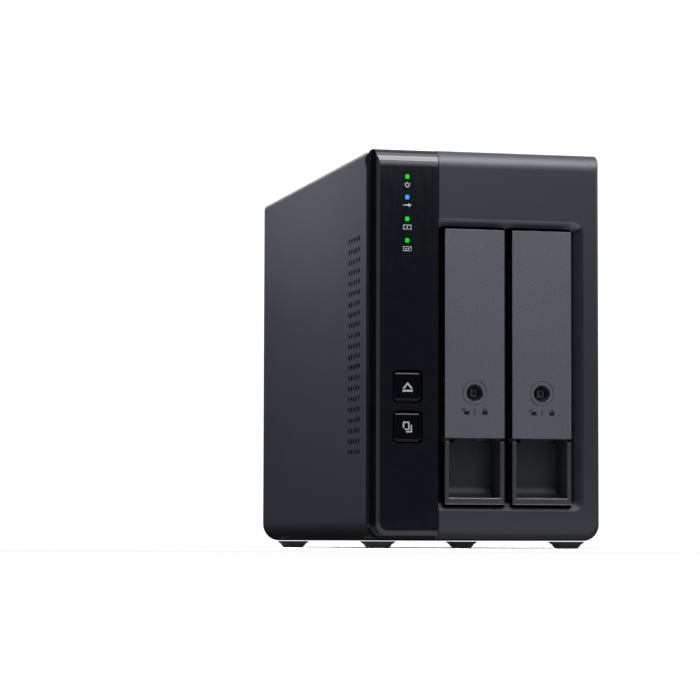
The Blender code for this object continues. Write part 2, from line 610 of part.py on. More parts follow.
def drive(k, cx):
    """3.5 inch disk drive on its side: cast body, raised lid, circuit board side."""
    x0, x1 = cx - DRIVE_W / 2, cx + DRIVE_W / 2
    u0, u1 = DRIVE_U0, DRIVE_U0 + DRIVE_L
    z0, z1 = DRIVE_Z0, DRIVE_Z0 + DRIVE_H
    ob = box("drive_%d" % k, x0 + 1.6, x1 - 0.6, u0, u1, z0, z1)
    join(ob, prism("c", rrect(y_of(u0 + 3), z0 + 3, y_of(u1 - 26), z1 - 3, (6, 16, 16, 6), 4), "X",
                   x1 - 1.2, x1))
    # board side: shallow well with the board and the connector block
    cut(ob, prism("c", rrect(y_of(u0 + 50), z0 + 4, y_of(u1 - 6), z1 - 4, 4, 2), "X", x0, x0 + 2.8))
    join(ob, box("c", x0, x0 + 4.0, u1 - 8.0, u1, z0 + 5.0, z0 + 47.0))
    return finish(ob, "alu", origin=(cx, y_of(u0), z0))


def retainer(name, cx, low):
    """Tool-less strip that pins the drive to its rail, snapped on from the side."""
    hw = TRAY_W / 2
    z0, z1 = (TRAY_Z0 + 0.4, DRIVE_Z0 - 0.9) if low else (DRIVE_Z0 + DRIVE_H + 0.9, TRAY_Z1 - 0.4)
    x = cx - hw
    ob = box(name, x, x + 0.9, 34.0, 150.0, z0, z1)
    return finish(ob, "frame")


# ================================================================ fan
def fan_frame():
    s = FAN_SIZE / 2
    n = 32
    ob = prism("fan_frame", rrect(FAN_X - s, FAN_Z - s, FAN_X + s, FAN_Z + s, 3.0, 2),
               "Y", y_of(FAN_U0), y_of(FAN_U1))
    cut(ob, prism("c", circle(FAN_X, FAN_Z, FAN_BORE, n), "Y", y_of(FAN_U0 - 5), y_of(FAN_U1 + 5)))
    bm = bmesh.new()
    for sx in (-1, 1):
        for sz in (-1, 1):
            add_prism(bm, circle(FAN_X + sx * FAN_PITCH / 2, FAN_Z + sz * FAN_PITCH / 2, 2.1, 10),
                      "Y", y_of(FAN_U0 - 3), y_of(FAN_U1 + 3))
    cut(ob, link("c", bm))
    # motor seat on four arms at the outlet side
    seat = prism("c", circle(FAN_X, FAN_Z, 13.5, 20), "Y", y_of(FAN_U1 - 3.2), y_of(FAN_U1 - 0.4))
    join(seat, box("d", FAN_X - 1.4, FAN_X + 1.4, FAN_U1 - 2.8, FAN_U1 - 0.8, FAN_Z - 33.6, FAN_Z + 33.6),
         box("e", FAN_X - 33.6, FAN_X + 33.6, FAN_U1 - 2.6, FAN_U1 - 1.0, FAN_Z - 1.4, FAN_Z + 1.4))
    join(ob, seat)
    return finish(ob, "black", smooth=30)


def fan_rotor():
    """Hub with seven pitched blades, turning about the Y axis."""
    u0, u1 = FAN_U0 + 1.5, FAN_U1 - 3.8
    ob = prism("fan_rotor", circle(FAN_X, FAN_Z, 13.0, 28), "Y", y_of(u0), y_of(u1))
    blades = 7
    bm = bmesh.new()
    ua, ub = u0 + 2.0, u1 - 1.0
    for b in range(blades):
        base = 2 * math.pi * b / blades
        rows = []
        for r, sweep, twist in ((11.5, 0.0, 0.52), (22.0, 0.10, 0.44), (31.6, 0.22, 0.36)):
            half = 0.75 / r
            a0 = base + sweep - twist * 0.6
            a1 = base + sweep + twist * 0.6
            row = []
            for ang, u in ((a0 - half, ua), (a0 + half, ua), (a1 + half, ub), (a1 - half, ub)):
                row.append(bm.verts.new(Vector((FAN_X + r * math.cos(ang), y_of(u),
                                                FAN_Z + r * math.sin(ang))) * MM))
            rows.append(row)
        bm.faces.new(rows[0])
        bm.faces.new(list(reversed(rows[-1])))
        for lo, hi in zip(rows, rows[1:]):
            for i in range(4):
                j = (i + 1) % 4
                bm.faces.new((lo[j], lo[i], hi[i], hi[j]))
    join(ob, link("c", bm))
    return finish(ob, "black", origin=(FAN_X, y_of((u0 + u1) / 2), FAN_Z), smooth=30)


# ================================================================ rear sockets
def usb_port():
    x, z = USB_X, USB_Z
    u0, u1 = 204.0, 216.2
    ob = prism("usb_c_port", rrect(x - 4.5, z - 1.6, x + 4.5, z + 1.6, 1.5, 3), "Y", y_of(u0), y_of(u1))
    cut(ob, prism("c", rrect(x - 4.2, z - 1.3, x + 4.2, z + 1.3, 1.2, 3), "Y", y_of(u1 - 8), y_of(u1 + 4)))
    join(ob, box("c", x - 3.2, x + 3.2, u0 + 1, u1 - 1.2, z - 0.35, z + 0.35))
    join(ob, box("c", x - 5.5, x + 5.5, u0, u1 - 6, z - 1.6 - 2.2, z + 0.4))
    return finish(ob, "steel", smooth=30)


def dc_jack():
    x, z = DC_X, DC_Z
    u0, u1 = 200.0, 216.2
    ob = box("dc_jack", x - 5.0, x + 5.0, u0, PANEL_U0 - GAP, z - 5.5, z + 5.5)
    join(ob, prism("c", circle(x, z, 4.25, 20), "Y", y_of(u0 + 2), y_of(u1)))
    cut(ob, prism("c", circle(x, z, 3.2, 20), "Y", y_of(u1 - 10), y_of(u1 + 3)))
    join(ob, prism("c", circle(x, z, 1.0, 10), "Y", y_of(u1 - 11), y_of(u1 - 1.0)))
    return finish(ob, "black", smooth=30)


def dip_switch():
    x, z = DIP_X, DIP_Z
    u0, u1 = 208.0, 216.2
    out = []
    ob = box("mode_switch_body", x - 4.8, x + 4.8, u0, u1, z - 3.0, z + 3.0)
    bm = bmesh.new()
    for k in (-1, 0, 1):
        cx = x + 3.0 * k
        add_box(bm, cx - 0.95, cx + 0.95, u1 - 1.9, u1 + 3, z - 2.1, z + 2.1)
    cut(ob, link("c", bm))
    out.append(finish(ob, "board"))
    for i, k in enumerate((-1, 0, 1), 1):
        cx = x + 3.0 * k
        s = box("mode_slider_%d" % i, cx - 0.6, cx + 0.6, u1 - 1.5, u1 + 0.2, z - 1.75, z - 0.25)
        out.append(finish(s, "white", origin=(cx, y_of(u1), z - 1.0)))
    return out


def set_button():
    x, z = SET_X, SET_Z
    ob = prism("set_button", circle(x, z, 1.9, 14), "Y", y_of(210.0), y_of(216.6))
    join(ob, prism("c", circle(x, z, 2.9, 14), "Y", y_of(209.0), y_of(211.4)))
    return finish(ob, "key", origin=(x, y_of(216.6), z), smooth=30)


# ================================================================ assembly
def main():
    purge()
    groups = {"enclosure": [], "tray_1": [], "tray_2": []}
    e = groups["enclosure"]
    e += [outer_cover(), front_bezel(), gloss_panel(), base_plate(), rear_panel()]
    e += feet()
    e += cage()
    e += boards()
    for name, z in KEY_Z.items():
        e.append(key(name, z))
    e += [fan_frame(), fan_rotor()]
    i = 0
    for sx in (-1, 1):
        for sz in (-1, 1):
            i += 1
            e.append(screw("fan_screw_%d" % i, FAN_X + sx * FAN_PITCH / 2,
                           FAN_Z + sz * FAN_PITCH / 2, 3.4, 1.7, 202.0))
    for i, (x, z) in enumerate(SCREWS, 1):
        e.append(screw("panel_screw_%d" % i, x, z, 3.2, 1.55, 208.0))
    e += [usb_port(), dc_jack(), set_button()]
    e += dip_switch()
    for k, cx in enumerate(TRAY_X, 1):
        t = groups["tray_%d" % k]
        t += [carrier(k, cx), lever(k, cx), hinge_pin(k, cx), lock_core(k, cx), drive(k, cx)]
        t += [retainer("drive_clip_low_%d" % k, cx, True), retainer("drive_clip_top_%d" % k, cx, False)]
    for name, members in groups.items():
        empty = bpy.data.objects.new("grp_" + name, None)
        bpy.context.scene.collection.objects.link(empty)
        for ob in members:
            ob.parent = empty


main()
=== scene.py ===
import json
import math

import bmesh
import bpy
from mathutils import Matrix, Vector

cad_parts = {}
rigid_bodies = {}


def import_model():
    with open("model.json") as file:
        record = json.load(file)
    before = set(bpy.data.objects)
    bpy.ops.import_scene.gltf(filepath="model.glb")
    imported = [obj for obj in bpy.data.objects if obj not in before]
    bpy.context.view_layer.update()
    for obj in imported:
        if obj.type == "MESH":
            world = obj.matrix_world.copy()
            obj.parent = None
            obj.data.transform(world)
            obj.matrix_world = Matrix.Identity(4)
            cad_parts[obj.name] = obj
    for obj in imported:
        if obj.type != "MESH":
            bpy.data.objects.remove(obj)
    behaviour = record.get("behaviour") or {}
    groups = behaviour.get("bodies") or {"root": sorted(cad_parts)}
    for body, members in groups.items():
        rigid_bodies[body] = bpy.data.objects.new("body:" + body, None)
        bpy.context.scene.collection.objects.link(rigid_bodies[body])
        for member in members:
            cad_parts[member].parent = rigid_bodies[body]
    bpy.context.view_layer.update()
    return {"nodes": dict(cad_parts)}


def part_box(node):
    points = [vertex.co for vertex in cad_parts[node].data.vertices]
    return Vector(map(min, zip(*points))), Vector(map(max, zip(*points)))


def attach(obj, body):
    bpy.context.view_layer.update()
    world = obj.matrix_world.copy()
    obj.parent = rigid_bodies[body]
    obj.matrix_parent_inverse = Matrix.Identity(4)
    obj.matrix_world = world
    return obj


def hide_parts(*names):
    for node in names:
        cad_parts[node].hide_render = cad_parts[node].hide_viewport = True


for leftover in list(bpy.data.objects):
    bpy.data.objects.remove(leftover, do_unlink=True)

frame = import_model()

# Looks for a two-bay desktop storage enclosure.  Lengths below are in
# millimetres; u is the depth behind the front face, as in the CAD model.
MM = 0.001
NODES = frame["nodes"]
BOX = {n: [tuple(c / MM for c in corner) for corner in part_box(n)] for n in NODES}
Y_FRONT = BOX["gloss_panel"][0][1]
W = BOX["outer_cover"][1][0] - BOX["outer_cover"][0][0]
H = BOX["outer_cover"][1][2]
D = BOX["outer_cover"][1][1] - Y_FRONT


def y_of(u):
    return Y_FRONT + u


def low(node, axis):
    return BOX[node][0][axis]


def high(node, axis):
    return BOX[node][1][axis]


def mid(node, axis):
    return 0.5 * (low(node, axis) + high(node, axis))


def u_low(node):
    return low(node, 1) - Y_FRONT


def u_high(node):
    return high(node, 1) - Y_FRONT


# ================================================================ materials
class Shader:
    """Small helper around one node tree, in object space."""

    def __init__(self, name):
        self.mat = bpy.data.materials.new(name)
        self.mat.use_nodes = True
        self.nt = self.mat.node_tree
        self.nt.nodes.clear()
        self.out = self.nt.nodes.new("ShaderNodeOutputMaterial")
        self.bsdf = self.nt.nodes.new("ShaderNodeBsdfPrincipled")
        self.nt.links.new(self.bsdf.outputs[0], self.out.inputs[0])
        self.co = self.nt.nodes.new("ShaderNodeTexCoord").outputs["Object"]

    def node(self, kind, **settings):
        n = self.nt.nodes.new(kind)
        for k, v in settings.items():
            setattr(n, k, v)
        return n

    def link(self, a, b):
        self.nt.links.new(a, b)

    def mapped(self, scale=(1, 1, 1), rot=(0, 0, 0), loc=(0, 0, 0)):
        n = self.node("ShaderNodeMapping")
        n.inputs["Scale"].default_value = scale
        n.inputs["Rotation"].default_value = rot
        n.inputs["Location"].default_value = loc
        self.link(self.co, n.inputs["Vector"])
        return n.outputs[0]

    def noise(self, scale, detail=3.0, rough=0.55, vector=None, distortion=0.0):
        n = self.node("ShaderNodeTexNoise")
        n.inputs["Scale"].default_value = scale
        n.inputs["Detail"].default_value = detail
        n.inputs["Roughness"].default_value = rough
        n.inputs["Distortion"].default_value = distortion
        self.link(vector or self.co, n.inputs["Vector"])
        return n.outputs["Fac"]

    def voronoi(self, scale, feature="F1", vector=None):
        n = self.node("ShaderNodeTexVoronoi", feature=feature)
        n.inputs["Scale"].default_value = scale
        self.link(vector or self.co, n.inputs["Vector"])
        return n.outputs["Distance"]

    def remap(self, value, a, b, c=0.0, d=1.0):
        n = self.node("ShaderNodeMapRange")
        for i, v in enumerate((a, b, c, d), 1):
            n.inputs[i].default_value = v
        self.link(value, n.inputs[0])
        return n.outputs[0]

    def ramp(self, value, *stops):
        n = self.node("ShaderNodeValToRGB")
        el = n.color_ramp.elements
        while len(el) < len(stops):
            el.new(0.5)
        for e, (pos, rgb) in zip(el, stops):
            e.position = pos
            e.color = (*rgb, 1.0)
        self.link(value, n.inputs[0])
        return n.outputs[0]

    def mix(self, factor, a, b, kind="MIX"):
        n = self.node("ShaderNodeMix", data_type="RGBA", blend_type=kind)
        for value, socket in ((factor, n.inputs[0]), (a, n.inputs[6]), (b, n.inputs[7])):
            if isinstance(value, bpy.types.NodeSocket):
                self.link(value, socket)
            elif isinstance(value, (tuple, list)):
                socket.default_value = (*value, 1.0)
            else:
                socket.default_value = value
        return n.outputs[2]

    def math(self, op, a, b=0.0):
        n = self.node("ShaderNodeMath", operation=op)
        for value, socket in ((a, n.inputs[0]), (b, n.inputs[1])):
            if isinstance(value, bpy.types.NodeSocket):
                self.link(value, socket)
            else:
                socket.default_value = value
        return n.outputs[0]

    def bump(self, height, strength, distance, below=None):
        n = self.node("ShaderNodeBump")
        n.inputs["Strength"].default_value = strength
        n.inputs["Distance"].default_value = distance
        self.link(height, n.inputs["Height"])
        if below is not None:
            self.link(below, n.inputs["Normal"])
        return n.outputs[0]

    def set(self, **values):
        for k, v in values.items():
            socket = self.bsdf.inputs[k.replace("_", " ")]
            if isinstance(v, bpy.types.NodeSocket):
                self.link(v, socket)
            elif isinstance(v, (tuple, list)):
                socket.default_value = (*v, 1.0)
            else:
                socket.default_value = v
        return self


def scaled(rgb, k):
    return tuple(c * k for c in rgb)


def moulded(name, rgb, rough=0.45, spread=0.06, grain=0.35, grain_mm=0.35, mottle=0.10,
            speck=0.0, specular=0.5):
    """Satin moulded plastic: broad mottling, fine spark-eroded grain, a little
    variation in gloss, and optionally a fine speckle of lighter flakes."""
    s = Shader(name)
    broad = s.noise(28.0, 3.0)
    fine = s.noise(1.0 / (grain_mm * MM), 2.0, 0.6)
    colour = s.ramp(broad, (0.3, scaled(rgb, 1.0 - mottle)), (0.7, scaled(rgb, 1.0 + mottle)))
    if speck:
        dots = s.noise(2100.0, 1.0, 0.5)
        colour = s.mix(s.remap(dots, 0.36, 0.66), s.mix(1.0, colour, (1.0 - speck,) * 3, "MULTIPLY"),
                       s.mix(1.0, colour, (1.0 + speck,) * 3, "MULTIPLY"))
    s.set(Base_Color=colour, Roughness=s.remap(fine, 0.3, 0.7, rough - spread, rough + spread))
    s.bsdf.inputs["Specular IOR Level"].default_value = specular
    s.set(Normal=s.bump(fine, grain, 0.00002))
    return s.mat


def glossy_black(name, rgb=(0.0018, 0.0030, 0.0054), rough=0.085, wave=0.06, specular=0.5):
    """High-gloss black plastic: nearly a mirror, with faint hairline marks
    in the polish and the slight waviness of a moulded face."""
    s = Shader(name)
    hair = s.noise(900.0, 3.0, 0.7, s.mapped((1.0, 1.0, 0.06), (0.0, 0.3, 0.0)))
    dust = s.noise(240.0, 4.0)
    s.set(Base_Color=s.ramp(dust, (0.35, scaled(rgb, 0.8)), (0.75, scaled(rgb, 1.5))),
          Roughness=s.remap(hair, 0.35, 0.85, rough, rough + 0.07))
    s.bsdf.inputs["Specular IOR Level"].default_value = specular
    s.set(Normal=s.bump(s.noise(34.0, 1.0), wave, 0.0004))
    return s.mat


def brushed(name, rgb, rough=0.30, along="Y", metallic=1.0):
    s = Shader(name)
    k = {"X": (0.02, 1, 1), "Y": (1, 0.02, 1), "Z": (1, 1, 0.02)}[along]
    lines = s.noise(2200.0, 4.0, 0.7, s.mapped(k))
    s.set(Base_Color=s.ramp(lines, (0.3, scaled(rgb, 0.82)), (0.7, scaled(rgb, 1.08))),
          Roughness=s.remap(lines, 0.3, 0.7, rough - 0.07, rough + 0.1))
    s.bsdf.inputs["Metallic"].default_value = metallic
    s.set(Normal=s.bump(lines, 0.25, 0.00001))
    return s.mat


def galvanised(name, rgb=(0.50, 0.51, 0.53)):
    """Zinc-coated sheet: crystal spangle in tone and gloss."""
    s = Shader(name)
    cells = s.node("ShaderNodeTexVoronoi")
    cells.inputs["Scale"].default_value = 170.0
    s.link(s.co, cells.inputs["Vector"])
    bw = s.node("ShaderNodeRGBToBW")
    s.link(cells.outputs["Color"], bw.inputs[0])
    haze = s.noise(45.0, 4.0)
    tone = s.mix(0.5, s.ramp(bw.outputs[0], (0.1, scaled(rgb, 0.78)), (0.9, scaled(rgb, 1.12))),
                 s.ramp(haze, (0.3, scaled(rgb, 0.8)), (0.7, scaled(rgb, 1.1))))
    s.set(Base_Color=tone, Roughness=s.remap(bw.outputs[0], 0.0, 1.0, 0.32, 0.52))
    s.bsdf.inputs["Metallic"].default_value = 1.0
    s.set(Normal=s.bump(haze, 0.12, 0.00008))
    return s.mat


def cast_metal(name, rgb, rough=0.42):
    """Die-cast aluminium: pebbled skin with darker pits."""
    s = Shader(name)
    skin = s.noise(1500.0, 3.0, 0.6)
    flow = s.noise(60.0, 4.0, 0.6, distortion=0.8)
    s.set(Base_Color=s.mix(0.35, s.ramp(skin, (0.3, scaled(rgb, 0.75)), (0.6, rgb)),
                           s.ramp(flow, (0.3, scaled(rgb, 0.85)), (0.7, scaled(rgb, 1.08)))),
          Roughness=s.remap(skin, 0.3, 0.7, rough - 0.08, rough + 0.12))
    s.bsdf.inputs["Metallic"].default_value = 1.0
    s.set(Normal=s.bump(skin, 0.35, 0.00003))
    return s.mat


def circuit(name, plane, rgb=(0.010, 0.075, 0.032)):
    """Solder-masked board: copper tracks under the mask, pads and vias."""
    s = Shader(name)
    rot = {"YZ": (0.0, math.pi / 2, 0.0), "XZ": (math.pi / 2, 0.0, 0.0)}[plane]
    flat = s.mapped((1, 1, 1), rot)
    tracks = s.node("ShaderNodeTexBrick", offset=0.5, squash=0.7)
    for k, v in (("Scale", 95.0), ("Mortar Size", 0.018), ("Mortar Smooth", 0.1),
                 ("Brick Width", 0.9), ("Row Height", 0.22)):
        tracks.inputs[k].default_value = v
    s.link(flat, tracks.inputs["Vector"])
    pour = s.remap(s.noise(70.0, 2.0, 0.4, flat), 0.50, 0.53)
    base = s.mix(pour, scaled(rgb, 0.7), scaled(rgb, 1.35))
    base = s.mix(tracks.outputs["Fac"], base, (0.030, 0.150, 0.060))
    pads = s.remap(s.voronoi(330.0, vector=flat), 0.17, 0.14)
    keep = s.remap(s.noise(120.0, 1.0, vector=flat), 0.52, 0.56)
    pads = s.math("MULTIPLY", pads, keep)
    base = s.mix(pads, base, (0.55, 0.53, 0.47))
    s.set(Base_Color=base, Metallic=pads, Roughness=s.remap(pads, 0.0, 1.0, 0.32, 0.26))
    s.set(Normal=s.bump(s.math("ADD", s.math("MULTIPLY", tracks.outputs["Fac"], 0.6), pads), 0.35, 0.00004))
    return s.mat


def rubber(name, rgb=(0.230, 0.233, 0.255)):
    s = Shader(name)
    grain = s.noise(1800.0, 4.0, 0.7)
    dust = s.noise(130.0, 4.0)
    s.set(Base_Color=s.mix(s.remap(dust, 0.45, 0.75, 0.0, 0.4), rgb, scaled(rgb, 1.8)),
          Roughness=s.remap(grain, 0.3, 0.7, 0.68, 0.88))
    s.bsdf.inputs["Sheen Weight"].default_value = 0.25
    s.bsdf.inputs["Sheen Roughness"].default_value = 0.5
    s.set(Normal=s.bump(grain, 0.4, 0.00004))
    return s.mat


def lamp(name, rgb, strength):
    """Frosted light pipe whose glow varies a little in patches."""
    s = Shader(name)
    haze = s.noise(900.0, 2.0)
    s.set(Base_Color=s.ramp(haze, (0.3, scaled(rgb, 0.05)), (0.7, scaled(rgb, 0.10))),
          Emission_Color=s.ramp(haze, (0.25, scaled(rgb, 0.8)), (0.75, rgb)),
          Roughness=s.remap(haze, 0.3, 0.7, 0.12, 0.28))
    s.bsdf.inputs["Emission Strength"].default_value = strength
    return s.mat


def ink(name, rgb, rough=0.55, specular=0.5):
    """Pad-printed ink, slightly uneven in cover."""
    s = Shader(name)
    cover = s.noise(1600.0, 2.0)
    s.set(Base_Color=s.ramp(cover, (0.3, scaled(rgb, 0.85)), (0.6, rgb)),
          Roughness=s.remap(cover, 0.3, 0.7, rough - 0.08, rough + 0.08))
    s.set(Normal=s.bump(cover, 0.2, 0.00001))
    s.bsdf.inputs["Specular IOR Level"].default_value = specular
    return s.mat


M = {
    "cover": moulded("cover_satin", (0.040, 0.0415, 0.0525), 0.42, 0.05, 0.25, 0.28, 0.05, speck=0.10, specular=0.45),
    "matte": moulded("front_satin", (0.0190, 0.0210, 0.0285), 0.41, 0.05, 0.25, 0.28, 0.05, speck=0.10, specular=0.45),
    # painted highlight: a lighter, glossier copy of the front satin for the down-facing slope above the bays
    "rim": moulded("front_satin_painted_highlight", (0.115, 0.1190, 0.1430), 0.36, 0.05, 0.25, 0.28, 0.04, specular=0.9),
    # painted highlight: a lighter, glossier grey for the rounded lips of the finger pockets
    "painted_lip_highlight": moulded("tray_lip_grey", (0.110, 0.113, 0.135), 0.36, 0.05, 0.25, 0.28, 0.04, specular=0.8),
    # painted shade: a near-black sheet for recess walls, gaps and flanks that stand in shadow
    "painted_shade": moulded("front_shadow_gap", (0.0040, 0.0042, 0.0050), 0.85, 0.05, 0.2, 0.3, 0.2, specular=0.05),
    "rear": moulded("rear_satin", (0.034, 0.036, 0.042), 0.52, 0.06, 0.5, 0.35, 0.08),
    "gloss": glossy_black("gloss_black"),
    "key": glossy_black("key_black", (0.0015, 0.0017, 0.0025), 0.10, 0.03, 0.18),
    "tray": moulded("tray_grey", (0.074, 0.0755, 0.0910), 0.45, 0.07, 0.35, 0.30, 0.05, speck=0.24),
    "frame": moulded("tray_body_grey", (0.025, 0.0262, 0.0335), 0.42, 0.06, 0.3, 0.32, 0.06, speck=0.06),
    "lock": moulded("lock_grey", (0.030, 0.031, 0.036), 0.40, 0.06, 0.3, 0.3, 0.10),
    "cage": moulded("cage_black", (0.014, 0.014, 0.016), 0.55, 0.06, 0.4, 0.4, 0.10),
    "black": moulded("fan_black", (0.018, 0.018, 0.020), 0.45, 0.07, 0.4, 0.35, 0.12),
    "chip": moulded("package_black", (0.020, 0.020, 0.021), 0.60, 0.05, 0.5, 0.25, 0.10),
    "white": moulded("nylon_white", (0.62, 0.62, 0.60), 0.40, 0.05, 0.2, 0.3, 0.04),
    "blue": moulded("switch_blue", (0.030, 0.090, 0.340), 0.42, 0.05, 0.2, 0.3, 0.06),
    "rubber": rubber("foot_rubber"),
    "steel": brushed("steel_turned", (0.60, 0.61, 0.63), 0.28, "Y"),
    "plated": brushed("steel_plated", (0.50, 0.51, 0.53), 0.30, "Y"),
    "contact": brushed("contact_gold", (0.80, 0.58, 0.22), 0.25, "Z"),
    "sheet": galvanised("sheet_zinc"),
    "alu": cast_metal("cast_aluminium", (0.58, 0.59, 0.61)),
    "lid": brushed("drive_lid", (0.62, 0.63, 0.65), 0.30, "Z"),
    "fins": brushed("heat_sink_fins", (0.62, 0.63, 0.66), 0.34, "Y"),
    "board_yz": circuit("board_green_side", "YZ"),
    "board_xz": circuit("board_green_front", "XZ"),
    "paper": moulded("label_blank", (0.66, 0.66, 0.64), 0.50, 0.04, 0.1, 0.3, 0.03),
    "led_green": lamp("lamp_green", (0.004, 0.74, 0.006), 1.0),
    "led_blue": lamp("lamp_blue", (0.055, 0.36, 0.95), 1.0),
    "ink_white": ink("ink_white", (0.44, 0.45, 0.47)),
    "ink_grey": ink("ink_grey", (0.46, 0.47, 0.50)),
    "ink_dark": ink("ink_dark", (0.006, 0.006, 0.008), 0.7, 0.12),
}


# ================================================================ mesh tools
def link_mesh(name, bm, recalc=True):
    if recalc:
        bmesh.ops.recalc_face_normals(bm, faces=bm.faces[:])
    mesh = bpy.data.meshes.new(name)
    bm.to_mesh(mesh)
    bm.free()
    ob = bpy.data.objects.new(name, mesh)
    bpy.context.scene.collection.objects.link(ob)
    return ob


def put(axis, p, a):
    if axis == "X":
        return Vector((a, p[0], p[1])) * MM
    if axis == "Y":
        return Vector((p[0], a, p[1])) * MM
    return Vector((p[0], p[1], a)) * MM


def add_loft(bm, axis, sections):
    """Closed solid through outlines [(pts, a), ...] placed along an axis."""
    rings = [[bm.verts.new(put(axis, p, a)) for p in pts] for pts, a in sections]
    bm.faces.new(rings[0])
    bm.faces.new(list(reversed(rings[-1])))
    for r0, r1 in zip(rings, rings[1:]):
        n = len(r0)
        for i in range(n):
            j = (i + 1) % n
            bm.faces.new((r0[j], r0[i], r1[i], r1[j]))


def add_prism(bm, pts, axis, a0, a1, taper=None):
    add_loft(bm, axis, [(pts, a0), (taper if taper is not None else pts, a1)])


def prism(name, pts, axis, a0, a1, taper=None):
    bm = bmesh.new()
    add_prism(bm, pts, axis, a0, a1, taper)
    return link_mesh(name, bm)


def loft(name, axis, sections):
    bm = bmesh.new()
    add_loft(bm, axis, sections)
    return link_mesh(name, bm)


def rect(x0, z0, x1, z1):
    return [(x0, z0), (x1, z0), (x1, z1), (x0, z1)]


def rrect(x0, z0, x1, z1, radii, seg=8):
    """Rounded rectangle; radii are (low left, low right, top right, top left)."""
    if not isinstance(radii, (tuple, list)):
        radii = (radii,) * 4
    pts = []
    for (cx, cz, start), r in zip([(x0, z0, 180.0), (x1, z0, 270.0), (x1, z1, 0.0), (x0, z1, 90.0)], radii):
        if r <= 0.0:
            pts.append((cx, cz))
            continue
        ox = cx + r if cx == x0 else cx - r
        oz = cz + r if cz == z0 else cz - r
        for k in range(seg + 1):
            a = math.radians(start + 90.0 * k / seg)
            pts.append((ox + r * math.cos(a), oz + r * math.sin(a)))
    return pts


def circle(cx, cz, r, n=48, phase=0.0):
    return [(cx + r * math.cos(phase + 2 * math.pi * k / n),
             cz + r * math.sin(phase + 2 * math.pi * k / n)) for k in range(n)]


def arc_band(cx, cz, r0, r1, a0, a1, n=24):
    """Part of a flat ring between two angles, as one outline."""
    angles = [math.radians(a0 + (a1 - a0) * k / n) for k in range(n + 1)]
    return ([(cx + r1 * math.cos(a), cz + r1 * math.sin(a)) for a in angles]
            + [(cx + r0 * math.cos(a), cz + r0 * math.sin(a)) for a in reversed(angles)])


def box(name, x0, x1, u0, u1, z0, z1):
    return prism(name, rect(x0, z0, x1, z1), "Y", y_of(u0), y_of(u1))


def add_box(bm, x0, x1, u0, u1, z0, z1):
    add_prism(bm, rect(x0, z0, x1, z1), "Y", y_of(u0), y_of(u1))


def apply_modifiers(ob):
    bpy.context.view_layer.update()
    graph = bpy.context.evaluated_depsgraph_get()
    mesh = bpy.data.meshes.new_from_object(ob.evaluated_get(graph))
    old = ob.data
    ob.modifiers.clear()
    ob.data = mesh
    bpy.data.meshes.remove(old)
    return ob


def boolean(ob, other, op):
    mod = ob.modifiers.new(op, "BOOLEAN")
    mod.operation, mod.solver, mod.object = op, "EXACT", other
    apply_modifiers(ob)
    bpy.data.objects.remove(other, do_unlink=True)
    return ob


def cut(ob, *tools):
    for t in tools:
        boolean(ob, t, "DIFFERENCE")
    return ob


def join(ob, *tools):
    for t in tools:
        boolean(ob, t, "UNION")
    return ob


def keep(ob, *tools):
    for t in tools:
        boolean(ob, t, "INTERSECT")
    return ob


def tidy(ob):
    bm = bmesh.new()
    bm.from_mesh(ob.data)
    bmesh.ops.remove_doubles(bm, verts=bm.verts[:], dist=2e-6)
    bmesh.ops.dissolve_limit(bm, angle_limit=math.radians(0.3), verts=bm.verts[:], edges=bm.edges[:])
    bmesh.ops.recalc_face_normals(bm, faces=bm.faces[:])
    bm.to_mesh(ob.data)
    bm.free()
    return ob


def soften(ob, width, seg=2, angle=32.0):
    """Small radius on every real edge."""
    tidy(ob)
    mod = ob.modifiers.new("edge", "BEVEL")
    mod.width, mod.segments = width * MM, seg
    mod.limit_method, mod.angle_limit = "ANGLE", math.radians(angle)
    mod.use_clamp_overlap = True
    apply_modifiers(ob)
    return ob


def round_edges(ob, width, test, seg=3, angle=32.0):
    """Larger radius on chosen edges; test gets the edge's middle as x, u, z and its direction."""
    tidy(ob)
    bm = bmesh.new()
    bm.from_mesh(ob.data)
    chosen = []
    for e in bm.edges:
        if len(e.link_faces) == 2 and e.calc_face_angle(0.0) > math.radians(angle):
            c = (e.verts[0].co + e.verts[1].co) / (2 * MM)
            d = (e.verts[1].co - e.verts[0].co).normalized()
            if test(c.x, c.y - Y_FRONT, c.z, d):
                chosen.append(e)
    bmesh.ops.bevel(bm, geom=chosen, offset=width * MM, offset_type="OFFSET", segments=seg,
                    profile=0.5, affect="EDGES", clamp_overlap=True)
    bm.to_mesh(ob.data)
    bm.free()
    return ob


def shade(ob, sharp=50.0):
    """Smooth shading in which large flat faces stay flat."""
    ob.data.shade_smooth()
    ob.data.set_sharp_from_angle(angle=math.radians(sharp))
    mod = ob.modifiers.new("normals", "WEIGHTED_NORMAL")
    mod.mode, mod.weight, mod.keep_sharp = "FACE_AREA", 100, True
    apply_modifiers(ob)
    return ob


def piece(ob, body, slot, *materials, stands_for=()):
    """Hand a finished mesh to the frame."""
    ob.data.materials.clear()
    for m in materials:
        ob.data.materials.append(M[m])
    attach(ob, body)
    if stands_for:
        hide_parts(*stands_for)
    return ob


def pick(ob, index, test):
    """Give material slot index to the faces whose centre (mm, with u) and normal pass."""
    for p in ob.data.polygons:
        c = p.center / MM
        if test(c.x, c.y - Y_FRONT, c.z, p.normal):
            p.material_index = index
    return ob


def decal(name, outlines, u, body, slot, mat, thick=0.02, sink=0.03):
    """Print on a face that looks forward: closed slivers standing just proud."""
    bm = bmesh.new()
    for pts in outlines:
        add_prism(bm, pts, "Y", y_of(u - thick), y_of(u + sink))
    ob = link_mesh(name, bm)
    return piece(ob, body, slot, mat)


